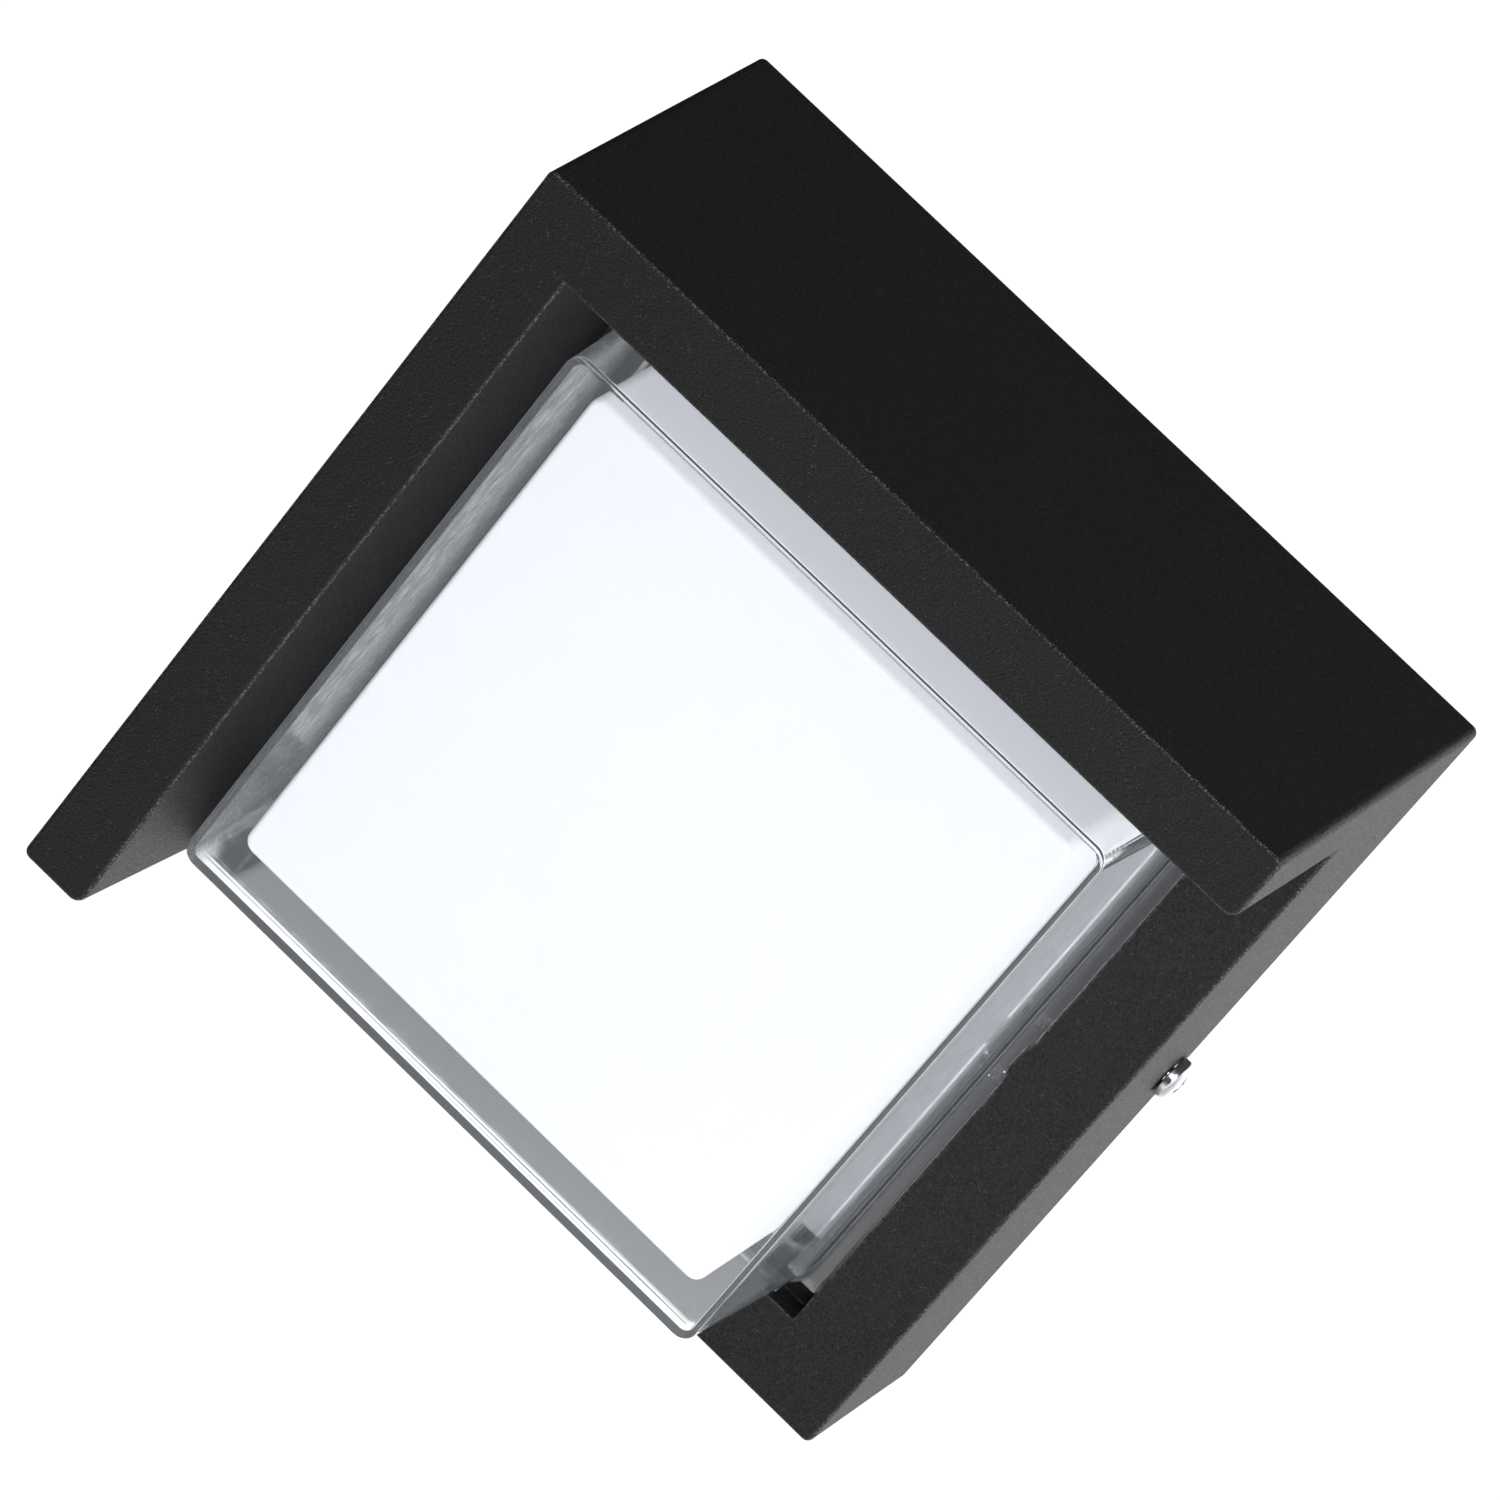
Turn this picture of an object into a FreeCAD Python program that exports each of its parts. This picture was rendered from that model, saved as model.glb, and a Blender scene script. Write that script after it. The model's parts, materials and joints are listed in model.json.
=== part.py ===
import FreeCAD, Part
import math
import os
import re

import Sketcher

# Outdoor wall lantern: a die-cast square base and two-armed hood, a clear cover over an opal
# diffuser and an LED board, a driver behind the board, and a wall bracket held by side screws.
#
# Every sub-part is drawn in the lamp's own frame: x along one arm, z along the other, and the
# wall in the plane y = 0. A "height" is a distance from the wall, towards -Y. The whole lamp
# is then turned by 45 degrees about Y, so that it hangs corner up, with its hood on top.

# Driving dimensions, in millimetres and degrees.
SIZES = {
    # Housing: one casting with the base and the hood.
    "outline_side": 170.0,
    "lamp_depth": 85.0,
    "base_height": 41.0,
    "side_draft": 1.95,
    "arm_thickness": 16.6,
    "arm_draft": 0.8,
    "casting_wall": 3.0,
    "outer_edge_radius": 1.5,
    "front_edge_radius": 0.8,
    "arm_end_radius": 2.5,
    "rear_recess_side": 161.0,
    "rear_recess_height": 6.5,
    "arm_core_side": 158.0,
    "arm_core_width": 7.6,
    "arm_core_height": 82.0,
    "aperture_side": 134.6,
    "ledge_height": 35.0,
    "box_side": 119.0,
    "box_corner": 2.0,
    "floor_height": 27.0,
    "key_length": 10.0,
    "key_height": 0.8,
    "key_slope": 3.0,
    "key_gap": 0.3,
    "boss_radius": 4.0,
    "boss_offset": 54.5,
    "boss_start": 5.1,
    "slot_width": 4.6,
    "screw_gap": 0.05,
    "part_gap": 0.1,
    "cut_margin": 1.0,
    # Clear cover, its gasket and its snap hooks.
    "gasket_height": 2.0,
    "cover_gasket_side": 125.2,
    "cover_gasket_width": 3.0,
    "cover_gasket_corner": 7.0,
    "flange_side": 133.8,
    "flange_height": 2.5,
    "flange_corner": 3.0,
    "flange_notch_start": 61.6,
    "flange_opening_side": 119.2,
    "flange_opening_corner": 4.0,
    "cover_root_side": 127.0,
    "cover_root_corner": 5.0,
    "cover_root_fillet": 1.2,
    "cover_front_side": 121.1,
    "cover_front_corner": 3.0,
    "cover_front_fillet": 0.5,
    "cover_top": 83.9,
    "cover_wall": 1.1,
    "cover_front_thickness": 2.0,
    "hook_shift": 6.6,
    "hook_width": 1.8,
    "hook_inner": 64.2,
    "hook_outer": 65.8,
    "hook_reach": 0.9,
    "hook_head_height": 1.6,
    "hook_gap": 0.2,
    # Opal diffuser and its screws.
    "diffuser_start": 27.2,
    "diffuser_flange": 2.0,
    "diffuser_flange_side": 118.0,
    "diffuser_flange_corner": 1.5,
    "diffuser_root_side": 111.8,
    "diffuser_root_corner": 3.5,
    "diffuser_front_side": 109.1,
    "diffuser_front_corner": 2.5,
    "diffuser_front_fillet": 1.0,
    "diffuser_top": 76.7,
    "diffuser_wall": 2.0,
    "diffuser_screw_offset": 57.3,
    "diffuser_screw_length": 4.8,
    "diffuser_screw_grip": 1.8,
    # LED board.
    "pad_side": 100.0,
    "pad_thickness": 0.5,
    "board_side": 104.0,
    "board_thickness": 1.6,
    "board_screw_offset": 47.0,
    "board_screw_length": 4.8,
    "chip_length": 3.5,
    "chip_width": 2.8,
    "chip_height": 0.8,
    "chip_pitch": 18.0,
    # Driver.
    "driver_length": 80.0,
    "driver_width": 36.0,
    "driver_bottom": 9.5,
    "driver_height": 14.3,
    "driver_wall": 1.5,
    "driver_offset": 32.0,
    "driver_ear_length": 8.0,
    "driver_ear_width": 10.0,
    "driver_ear_height": 2.0,
    "driver_screw_offset": 44.0,
    "driver_screw_length": 4.8,
    "driver_board_length": 74.0,
    "driver_board_width": 30.0,
    "driver_board_bottom": 12.0,
    "transformer_side": 16.0,
    "transformer_height": 8.0,
    "capacitor_radius": 4.0,
    "capacitor_length": 14.0,
    # Supply terminals, earth and leads.
    "terminal_length": 32.0,
    "terminal_width": 16.0,
    "terminal_bottom": 12.0,
    "terminal_height": 11.9,
    "terminal_offset": 38.0,
    "terminal_pitch": 10.0,
    "terminal_well_radius": 2.6,
    "terminal_well_depth": 6.0,
    "lead_height": 17.0,
    "lead_radius": 1.1,
    "led_lead_height": 15.0,
    "led_lead_radius": 0.9,
    "led_lead_offset": 30.0,
    "led_lead_pitch": 2.4,
    "lead_hole_radius": 3.4,
    "lead_bore_radius": 2.4,
    "earth_offset": 40.0,
    "earth_drop": 12.0,
    "earth_boss_height": 18.5,
    "earth_boss_radius": 5.0,
    "earth_screw_length": 5.0,
    "lug_length": 12.0,
    "lug_width": 7.0,
    "lug_thickness": 0.8,
    # Rear plate, its gasket and the supply cable's grommet.
    "rear_plate_side": 130.0,
    "rear_plate_corner": 4.0,
    "rear_plate_start": 3.5,
    "rear_plate_thickness": 1.5,
    "rear_gasket_side": 127.0,
    "rear_gasket_width": 4.0,
    "rear_screw_length": 10.0,
    "grommet_hole_radius": 7.0,
    "grommet_flange_radius": 9.0,
    "grommet_bore_radius": 4.0,
    "grommet_start": 2.3,
    "grommet_end": 7.0,
    # Wall bracket.
    "bracket_length": 160.0,
    "bracket_width": 44.0,
    "bracket_thickness": 2.0,
    "bracket_tab_width": 18.0,
    "bracket_tab_height": 12.0,
    "bracket_hole_radius": 2.5,
    "bracket_hole_spacing": 100.0,
    "bracket_cable_radius": 11.0,
    "bracket_earth_offset": 70.0,
    "bracket_earth_rise": 13.0,
    "bracket_earth_length": 1.8,
    # Side locking screws.
    "side_screw_height": 5.7,
    "side_screw_seat": 85.05,
    "side_screw_length": 13.0,
    "side_screw_radius": 2.0,
    "side_head_radius": 4.3,
    "side_head_height": 2.8,
    # Small pan-head screws, three sizes.
    "small_screw_radius": 1.25,
    "small_head_radius": 2.1,
    "small_head_height": 1.6,
    "medium_screw_radius": 1.5,
    "medium_head_radius": 2.5,
    "medium_head_height": 2.0,
    "large_screw_radius": 2.0,
    "large_head_radius": 3.5,
    "large_head_height": 2.4,
    "screw_recess_share": 0.55,
}

CORNER_UP = FreeCAD.Rotation(FreeCAD.Vector(0, 1, 0), 45)
CORNERS = [("", ""), ("-", ""), ("-", "-"), ("", "-")]
TOWARDS_FRONT = FreeCAD.Vector(0, -1, 0)
TOWARDS_WALL = FreeCAD.Vector(0, 1, 0)


# ---------------------------------------------------------------- sheet and expressions

def make_sheet(doc):
    """The spreadsheet that holds the driving dimensions, one aliased cell each."""
    sheet = doc.addObject("Spreadsheet::Sheet", "Sizes")
    for row, (alias, size) in enumerate(SIZES.items(), start=1):
        sheet.set("A%d" % row, alias)
        sheet.set("B%d" % row, str(size))
        sheet.setAlias("B%d" % row, alias)
    doc.recompute()
    return sheet


def number(text):
    """What an expression in the sheet's aliases comes to."""
    plain = re.sub(r"[a-z_]+", lambda found: str(SIZES[found.group()]), text)
    return FreeCAD.Units.Quantity(plain).Value


def bound(text):
    """The same expression, as an object of the document reads it."""
    return re.sub(r"([a-z_]+)", r"Sizes.\1", text)


# ---------------------------------------------------------------- sketches

def new_body(doc, label):
    """An empty body for one sub-part."""
    body = doc.addObject("PartDesign::Body", label)
    body.Label = label
    return body


def sketch_on(body, name, height, role="XZ_Plane"):
    """An empty sketch on one of the body's own planes, moved along the plane's normal."""
    plane = next(item for item in body.Origin.OriginFeatures if item.Role == role)
    sketch = body.newObject("Sketcher::SketchObject", name)
    sketch.AttachmentSupport = [(plane, "")]
    sketch.MapMode = "FlatFace"
    sketch.setExpression(".AttachmentOffset.Base.z", bound(height))
    return sketch


def dimension(sketch, kind, where, text):
    """A driving dimension whose value is bound to the sheet."""
    index = sketch.addConstraint(Sketcher.Constraint(kind, *where, number(text)))
    sketch.setExpression("Constraints[%d]" % index, bound(text))


def locate(sketch, item, point, across, up):
    """Dimensions from the sketch's origin to a point, on either side of it or on an axis."""
    for kind, axis, text in (("DistanceX", -2, across), ("DistanceY", -1, up)):
        distance = number(text)
        if abs(distance) < 1e-9:
            sketch.addConstraint(Sketcher.Constraint("PointOnObject", item, point, axis))
        elif distance > 0:
            dimension(sketch, kind, (-1, 1, item, point), text)
        else:
            dimension(sketch, kind, (item, point, -1, 1), "-(" + text + ")")


def polygon(sketch, corners):
    """A closed outline of straight lines through corners given as expressions."""
    points = [FreeCAD.Vector(number(across), number(up), 0) for across, up in corners]
    count = len(points)
    first = sketch.GeometryCount
    for index in range(count):
        sketch.addGeometry(Part.LineSegment(points[index], points[(index + 1) % count]))
    for index in range(count):
        following = first + (index + 1) % count
        sketch.addConstraint(Sketcher.Constraint("Coincident", first + index, 2, following, 1))
    for index, (across, up) in enumerate(corners):
        locate(sketch, first + index, 1, across, up)


def rectangle(sketch, width, height, centre=("0", "0")):
    """A rectangle with sharp corners about a centre."""
    left = "%s - (%s) / 2" % (centre[0], width)
    right = "%s + (%s) / 2" % (centre[0], width)
    low = "%s - (%s) / 2" % (centre[1], height)
    high = "%s + (%s) / 2" % (centre[1], height)
    polygon(sketch, [(left, low), (right, low), (right, high), (left, high)])


def rounded_square(sketch, side, radius):
    """A square about the origin, with an arc at each corner."""
    half = number(side) / 2
    curve = number(radius)
    flat = half - curve
    ends = [((-flat, -half), (flat, -half)), ((half, -flat), (half, flat)),
            ((flat, half), (-flat, half)), ((-half, flat), (-half, -flat))]
    middles = [(flat, -flat), (flat, flat), (-flat, flat), (-flat, -flat)]
    for start, end in ends:
        sketch.addGeometry(Part.LineSegment(FreeCAD.Vector(*start, 0), FreeCAD.Vector(*end, 0)))
    for index, middle in enumerate(middles):
        circle = Part.Circle(FreeCAD.Vector(*middle, 0), FreeCAD.Vector(0, 0, 1), curve)
        turn = -math.pi / 2 + index * math.pi / 2
        sketch.addGeometry(Part.ArcOfCircle(circle, turn, turn + math.pi / 2))
    for index in range(4):
        sketch.addConstraint(Sketcher.Constraint("Tangent", index, 2, index + 4, 1))
        sketch.addConstraint(Sketcher.Constraint("Tangent", index + 4, 2, (index + 1) % 4, 1))
    for index in (0, 2):
        sketch.addConstraint(Sketcher.Constraint("Horizontal", index))
        sketch.addConstraint(Sketcher.Constraint("Vertical", index + 1))
    for index in (5, 6, 7):
        sketch.addConstraint(Sketcher.Constraint("Equal", 4, index))
    dimension(sketch, "Radius", (4,), radius)
    half_side = "(" + side + ") / 2"
    dimension(sketch, "DistanceX", (-1, 1, 1, 1), half_side)
    dimension(sketch, "DistanceX", (3, 1, -1, 1), half_side)
    dimension(sketch, "DistanceY", (-1, 1, 2, 1), half_side)
    dimension(sketch, "DistanceY", (0, 1, -1, 1), half_side)


def circles(sketch, centres, radius):
    """Equal circles at centres given as expressions."""
    for index, (across, up) in enumerate(centres):
        middle = FreeCAD.Vector(number(across), number(up), 0)
        sketch.addGeometry(Part.Circle(middle, FreeCAD.Vector(0, 0, 1), number(radius)))
        locate(sketch, index, 3, across, up)
        if index:
            sketch.addConstraint(Sketcher.Constraint("Equal", 0, index))
    dimension(sketch, "Radius", (0,), radius)


def at_corners(offset):
    """Four points, one in each corner, at one offset from both axes."""
    return [(across + offset, up + offset) for across, up in CORNERS]


def at_sides(offset):
    """Four points on the axes, at one offset from the centre."""
    return [(offset, "0"), ("-" + offset, "0"), ("0", offset), ("0", "-" + offset)]


# ---------------------------------------------------------------- features

def pad(body, sketch, length, taper="0"):
    """Adds material from the sketch towards the front."""
    feature = body.newObject("PartDesign::Pad", sketch.Name + "_pad")
    feature.Profile = sketch
    feature.setExpression("Length", bound(length))
    feature.setExpression("TaperAngle", bound(taper))
    body.Tip = feature
    return feature


def pocket(body, sketch, depth, from_rear=False, taper="0"):
    """Cuts from the sketch towards the wall, or towards the front if from_rear."""
    feature = body.newObject("PartDesign::Pocket", sketch.Name + "_cut")
    feature.Profile = sketch
    feature.Reversed = from_rear
    feature.setExpression("Length", bound(depth))
    feature.setExpression("TaperAngle", bound(taper))
    body.Tip = feature
    return feature


def loft(body, kind, lower, upper):
    """A body between two outlines, added (AdditiveLoft) or cut (SubtractiveLoft)."""
    feature = body.newObject("PartDesign::" + kind, lower.Name + "_loft")
    feature.Profile = lower
    feature.Sections = [upper]
    feature.Ruled = True
    body.Tip = feature
    return feature


def fillet(doc, body, chosen, radius, name):
    """Rounds the edges of the newest shape that the test chooses."""
    doc.recompute()
    base = body.Tip
    names = []
    for index, edge in enumerate(base.Shape.Edges, start=1):
        if chosen(edge.BoundBox):
            names.append("Edge%d" % index)
    feature = body.newObject("PartDesign::Fillet", name)
    feature.Base = (base, names)
    feature.setExpression("Radius", bound(radius))
    body.Tip = feature
    return feature


def plate(doc, label, side, corner, start, thickness):
    """A flat square sheet with rounded corners, parallel to the wall."""
    body = new_body(doc, label)
    outline = sketch_on(body, label + "_outline", start)
    rounded_square(outline, side, corner)
    pad(body, outline, thickness)
    return body


def holes(body, name, centres, radius, start, depth):
    """Round holes of one size, cut from a height towards the front."""
    sketch = sketch_on(body, name, start)
    circles(sketch, centres, radius)
    pocket(body, sketch, depth, from_rear=True)


# ---------------------------------------------------------------- housing

def housing_outside(doc, body):
    """The drafted outside of the base and the two arms of the hood."""
    outline = sketch_on(body, "housing_outline", "0")
    rectangle(outline, "outline_side", "outline_side")
    pad(body, outline, "lamp_depth", "-side_draft")
    fillet(doc, body, lambda box: box.YLength > 1, "outer_edge_radius", "housing_long_edges")
    opening = sketch_on(body, "hood_opening", "lamp_depth")
    inner = "outline_side / 2 - arm_thickness"
    beyond = "outline_side"
    polygon(opening, [("-(" + inner + ")", "-(" + beyond + ")"), (beyond, "-(" + beyond + ")"),
                      (beyond, inner), ("-(" + inner + ")", inner)])
    pocket(body, opening, "lamp_depth - base_height", taper="-arm_draft")
    round_hood_edges(doc, body)


def round_hood_edges(doc, body):
    """The arms' inner ends, then the front edges of the hood and of the base."""
    front = -number("lamp_depth")
    rim = -number("base_height")
    inner = number("outline_side / 2 - arm_thickness")
    far = number("outline_side / 2 - 4")

    def arm_end(box):
        at_right = box.XMin > far and abs(box.ZMin - inner) < 1
        at_low = box.ZMax < -far and abs(box.XMin + inner) < 1
        return box.YLength > 10 and (at_right or at_low) and box.YMin < front + 1

    def front_edge(box):
        at_front = box.YLength < 0.01 and abs(box.YMin - front) < 0.01
        at_rim = box.YLength < 0.01 and abs(box.YMin - rim) < 0.01
        outside = box.XMin > far or box.ZMax < -far
        return at_front or (at_rim and outside)

    fillet(doc, body, arm_end, "arm_end_radius", "arm_inner_ends")
    fillet(doc, body, front_edge, "front_edge_radius", "housing_front_edges")


def housing_front(body):
    """The aperture for the cover, with its four keys, and the pocket for the LED board."""
    aperture = sketch_on(body, "aperture", "base_height")
    rectangle(aperture, "aperture_side", "aperture_side")
    pocket(body, aperture, "base_height - ledge_height")
    keys = sketch_on(body, "aperture_keys", "ledge_height")
    key_outlines(keys, "0")
    pad(body, keys, "base_height - ledge_height")
    board_pocket = sketch_on(body, "board_pocket", "ledge_height")
    rounded_square(board_pocket, "box_side", "box_corner")
    pocket(body, board_pocket, "ledge_height - floor_height")


def key_outlines(sketch, gap):
    """A low key with sloped ends in the middle of each side of the aperture, with a gap all round."""
    wall = "aperture_side / 2"
    inside_wall = "aperture_side / 2 + cut_margin"
    tip = "aperture_side / 2 - key_height - " + gap
    long = "key_length / 2 + " + gap
    short = "key_length / 2 - key_slope + " + gap
    right = [(inside_wall, "-(" + long + ")"), (inside_wall, long), (wall, long),
             (tip, short), (tip, "-(" + short + ")"), (wall, "-(" + long + ")")]
    left = [("-(" + across + ")", up) for across, up in right]
    for side in (right, left):
        polygon(sketch, side)
        polygon(sketch, [(up, across) for across, up in side])


def housing_rear(body):
    """The hollows behind: the recess, the ring round the inner box, and the driver's space."""
    recess = sketch_on(body, "rear_recess", "0")
    rectangle(recess, "rear_recess_side", "rear_recess_side")
    pocket(body, recess, "rear_recess_height", from_rear=True)
    ring = sketch_on(body, "rear_ring", "rear_recess_height")
    rectangle(ring, "rear_recess_side", "rear_recess_side")
    inner_box_outline(ring, "box_side + 2 * casting_wall")
    pocket(body, ring, "ledge_height - casting_wall - rear_recess_height", from_rear=True)
    rim = sketch_on(body, "rim_ring", "ledge_height - casting_wall")
    rectangle(rim, "rear_recess_side", "rear_recess_side")
    inner_box_outline(rim, "aperture_side + 2 * casting_wall")
    pocket(body, rim, "base_height - ledge_height", from_rear=True)
    space = sketch_on(body, "driver_space", "rear_recess_height")
    rounded_square(space, "box_side", "box_corner")
    height = "floor_height - casting_wall - rear_recess_height"
    pocket(body, space, height, from_rear=True)


def inner_box_outline(sketch, side):
    """A second square inside an outline, with its corners cut at 45 degrees."""
    half = "(" + side + ") / 2"
    cut = "(" + side + ") / 2 - casting_wall"
    low_half = "-(" + half + ")"
    low_cut = "-(" + cut + ")"
    polygon(sketch, [(cut, half), (low_cut, half), (low_half, cut), (low_half, low_cut),
                     (low_cut, low_half), (cut, low_half), (half, low_cut), (half, cut)])


def housing_arm_cores(body):
    """The L-shaped core that leaves both arms hollow, open to the rear."""
    cores = sketch_on(body, "arm_cores", "base_height - casting_wall")
    outer = "arm_core_side / 2"
    inner = "arm_core_side / 2 - arm_core_width"
    polygon(cores, [("-(" + outer + ")", outer), ("-(" + outer + ")", "-(" + outer + ")"),
                    ("-(" + inner + ")", "-(" + outer + ")"), ("-(" + inner + ")", inner),
                    (outer, inner), (outer, outer)])
    pocket(body, cores, "arm_core_height - base_height + casting_wall", from_rear=True)


def housing_bosses(body):
    """Bosses and holes for the screws, and the hole for the LED leads."""
    floor_rear = "floor_height - casting_wall"
    bosses = sketch_on(body, "plate_bosses", "boss_start")
    circles(bosses, at_corners("boss_offset"), "boss_radius")
    pad(body, bosses, floor_rear + " - boss_start")
    earth_at = [("earth_offset", "-earth_drop")]
    earth = sketch_on(body, "earth_boss", "earth_boss_height")
    circles(earth, earth_at, "earth_boss_radius")
    pad(body, earth, floor_rear + " - earth_boss_height")
    small = "small_screw_radius + screw_gap"
    medium = "medium_screw_radius + screw_gap"
    large = "large_screw_radius + screw_gap"
    holes(body, "plate_screw_holes", at_corners("boss_offset"), medium,
          "boss_start", "rear_screw_length")
    holes(body, "earth_screw_hole", earth_at, large, "earth_boss_height", "earth_screw_length")
    slots = sketch_on(body, "cover_hook_slots", "ledge_height - casting_wall")
    hook_outlines(slots, "hook_inner - hook_gap", "hook_outer + hook_reach + hook_gap", "hook_gap")
    pocket(body, slots, "casting_wall", from_rear=True)
    holes(body, "diffuser_screw_holes", at_sides("diffuser_screw_offset"), small,
          floor_rear, "casting_wall")
    holes(body, "board_screw_holes", at_corners("board_screw_offset"), medium,
          floor_rear, "casting_wall")
    driver_at = [("driver_screw_offset", "driver_offset"), ("-driver_screw_offset", "driver_offset")]
    holes(body, "driver_screw_holes", driver_at, medium, floor_rear, "casting_wall")
    holes(body, "lead_hole", [("led_lead_offset", "0")], "lead_hole_radius",
          floor_rear, "casting_wall")


def housing_screw_slots(body):
    """Open-ended slots in two opposite sides, for the side locking screws."""
    sketch = sketch_on(body, "side_slots", "-outline_side / 2 - casting_wall", "YZ_Plane")
    half = "slot_width / 2"
    end = "-side_screw_height"
    beyond = "casting_wall"
    polygon(sketch, [(beyond, "-" + half), (beyond, half), (end, half), (end, "-" + half)])
    feature = pocket(body, sketch, "outline_side + 2 * casting_wall", from_rear=True)
    feature.Label = "side_slots_cut"
    rounds = sketch_on(body, "side_slot_ends", "-outline_side / 2 - casting_wall", "YZ_Plane")
    circles(rounds, [(end, "0")], half)
    pocket(body, rounds, "outline_side + 2 * casting_wall", from_rear=True)


def make_housing(doc):
    """The casting: base, hood, inner box, bosses and slots."""
    body = new_body(doc, "housing")
    housing_outside(doc, body)
    housing_front(body)
    housing_rear(body)
    housing_arm_cores(body)
    housing_bosses(body)
    housing_screw_slots(body)
    return body


# ---------------------------------------------------------------- cover and diffuser

def make_cover(doc):
    """The clear box over the light, on a flange with an inner lip over the gasket. The flange's
    corners are cut out, which leaves a pit in each corner of the aperture."""
    start = "ledge_height + gasket_height"
    root = start + " + flange_height"
    body = plate(doc, "clear_cover", "flange_side", "flange_corner", start, "flange_height")
    lower = sketch_on(body, "cover_root", root)
    rounded_square(lower, "cover_root_side", "cover_root_corner")
    upper = sketch_on(body, "cover_front", "cover_top")
    rounded_square(upper, "cover_front_side", "cover_front_corner")
    loft(body, "AdditiveLoft", lower, upper)
    front = -number("cover_top")
    base = -number(root)
    reach = number("cover_root_side / 2 + 0.5")

    def at_front(box):
        return box.YLength < 0.01 and abs(box.YMin - front) < 0.01

    def at_root(box):
        inside = max(box.XMax, -box.XMin, box.ZMax, -box.ZMin) < reach
        return box.YLength < 0.01 and abs(box.YMin - base) < 0.01 and inside

    fillet(doc, body, at_front, "cover_front_fillet", "cover_front_edges")
    fillet(doc, body, at_root, "cover_root_fillet", "cover_root_edges")
    low = sketch_on(body, "cover_inside_root", root)
    rounded_square(low, "cover_root_side - 2 * cover_wall", "cover_root_corner - cover_wall")
    high = sketch_on(body, "cover_inside_front", "cover_top - cover_front_thickness")
    rounded_square(high, "cover_front_side - 2 * cover_wall", "cover_front_corner - cover_wall")
    loft(body, "SubtractiveLoft", low, high)
    opening = sketch_on(body, "flange_opening", start)
    rounded_square(opening, "flange_opening_side", "flange_opening_corner")
    pocket(body, opening, "flange_height", from_rear=True)
    corners = sketch_on(body, "flange_corner_notches", start)
    reach = "(flange_side / 2 + cut_margin - flange_notch_start)"
    for centre in at_corners("(flange_notch_start + " + reach + " / 2)"):
        rectangle(corners, reach, reach, centre)
    pocket(body, corners, "flange_height", from_rear=True)
    notches = sketch_on(body, "cover_key_notches", start)
    key_outlines(notches, "key_gap")
    pocket(body, notches, "flange_height", from_rear=True)
    make_cover_hooks(body)
    return body


def make_cover_hooks(body):
    """Eight snap hooks, through slots in the ledge, that catch behind it."""
    start = "ledge_height - casting_wall - hook_gap - hook_head_height"
    stems = sketch_on(body, "cover_hook_stems", start)
    hook_outlines(stems, "hook_inner", "hook_outer", "0")
    pad(body, stems, "casting_wall + gasket_height + hook_gap + hook_head_height")
    heads = sketch_on(body, "cover_hook_heads", start)
    hook_outlines(heads, "hook_outer - hook_gap", "hook_outer + hook_reach", "0")
    pad(body, heads, "hook_head_height")


def hook_outlines(sketch, inner, outer, gap):
    """Eight rectangles, two in each side, either side of the key, between two distances."""
    reach = "(" + outer + " - (" + inner + "))"
    middle = "((" + inner + " + " + outer + ") / 2)"
    width = "(hook_width + 2 * " + gap + ")"
    for side in ("", "-"):
        for shift in ("", "-"):
            rectangle(sketch, reach, width, (side + middle, shift + "hook_shift"))
            rectangle(sketch, width, reach, (shift + "hook_shift", side + middle))


def ring(doc, label, side, width, corner, start, thickness):
    """A square ring of sheet, such as a gasket."""
    body = plate(doc, label, side, corner, start, thickness)
    inside = sketch_on(body, label + "_inside", start)
    rounded_square(inside, side + " - 2 * " + width, corner + " - " + width + " + 0.5")
    pocket(body, inside, thickness, from_rear=True)
    return body


def make_diffuser(doc):
    """The opal box inside the cover, on a flange with four screw holes."""
    start = "diffuser_start"
    body = plate(doc, "opal_diffuser", "diffuser_flange_side", "diffuser_flange_corner",
                 start, "diffuser_flange")
    lower = sketch_on(body, "diffuser_root", start + " + diffuser_flange")
    rounded_square(lower, "diffuser_root_side", "diffuser_root_corner")
    upper = sketch_on(body, "diffuser_front", "diffuser_top")
    rounded_square(upper, "diffuser_front_side", "diffuser_front_corner")
    loft(body, "AdditiveLoft", lower, upper)
    front = -number("diffuser_top")
    fillet(doc, body, lambda box: box.YLength < 0.01 and abs(box.YMin - front) < 0.01,
           "diffuser_front_fillet", "diffuser_front_edges")
    low = sketch_on(body, "diffuser_inside_root", start)
    rounded_square(low, "diffuser_root_side - 2 * diffuser_wall",
                   "diffuser_root_corner - diffuser_wall")
    high = sketch_on(body, "diffuser_inside_front", "diffuser_top - diffuser_wall")
    rounded_square(high, "diffuser_front_side - 2 * diffuser_wall",
                   "diffuser_front_corner - diffuser_wall")
    loft(body, "SubtractiveLoft", low, high)
    holes(body, "diffuser_holes", at_sides("diffuser_screw_offset"),
          "small_screw_radius + screw_gap", start, "diffuser_screw_grip")
    return body


# ---------------------------------------------------------------- LED board

def make_thermal_pad(doc):
    """The soft pad between the casting's floor and the LED board."""
    body = plate(doc, "thermal_pad", "pad_side", "box_corner", "floor_height", "pad_thickness")
    holes(body, "pad_holes", at_corners("board_screw_offset"),
          "medium_screw_radius + part_gap", "floor_height", "pad_thickness")
    holes(body, "pad_lead_hole", [("led_lead_offset", "0")], "lead_hole_radius",
          "floor_height", "pad_thickness")
    return body


def make_led_board(doc):
    """The aluminium board that carries the light-emitting chips."""
    start = "floor_height + pad_thickness"
    body = plate(doc, "led_board", "board_side", "box_corner", start, "board_thickness")
    holes(body, "board_holes", at_corners("board_screw_offset"),
          "medium_screw_radius + part_gap", start, "board_thickness")
    return body


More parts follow.
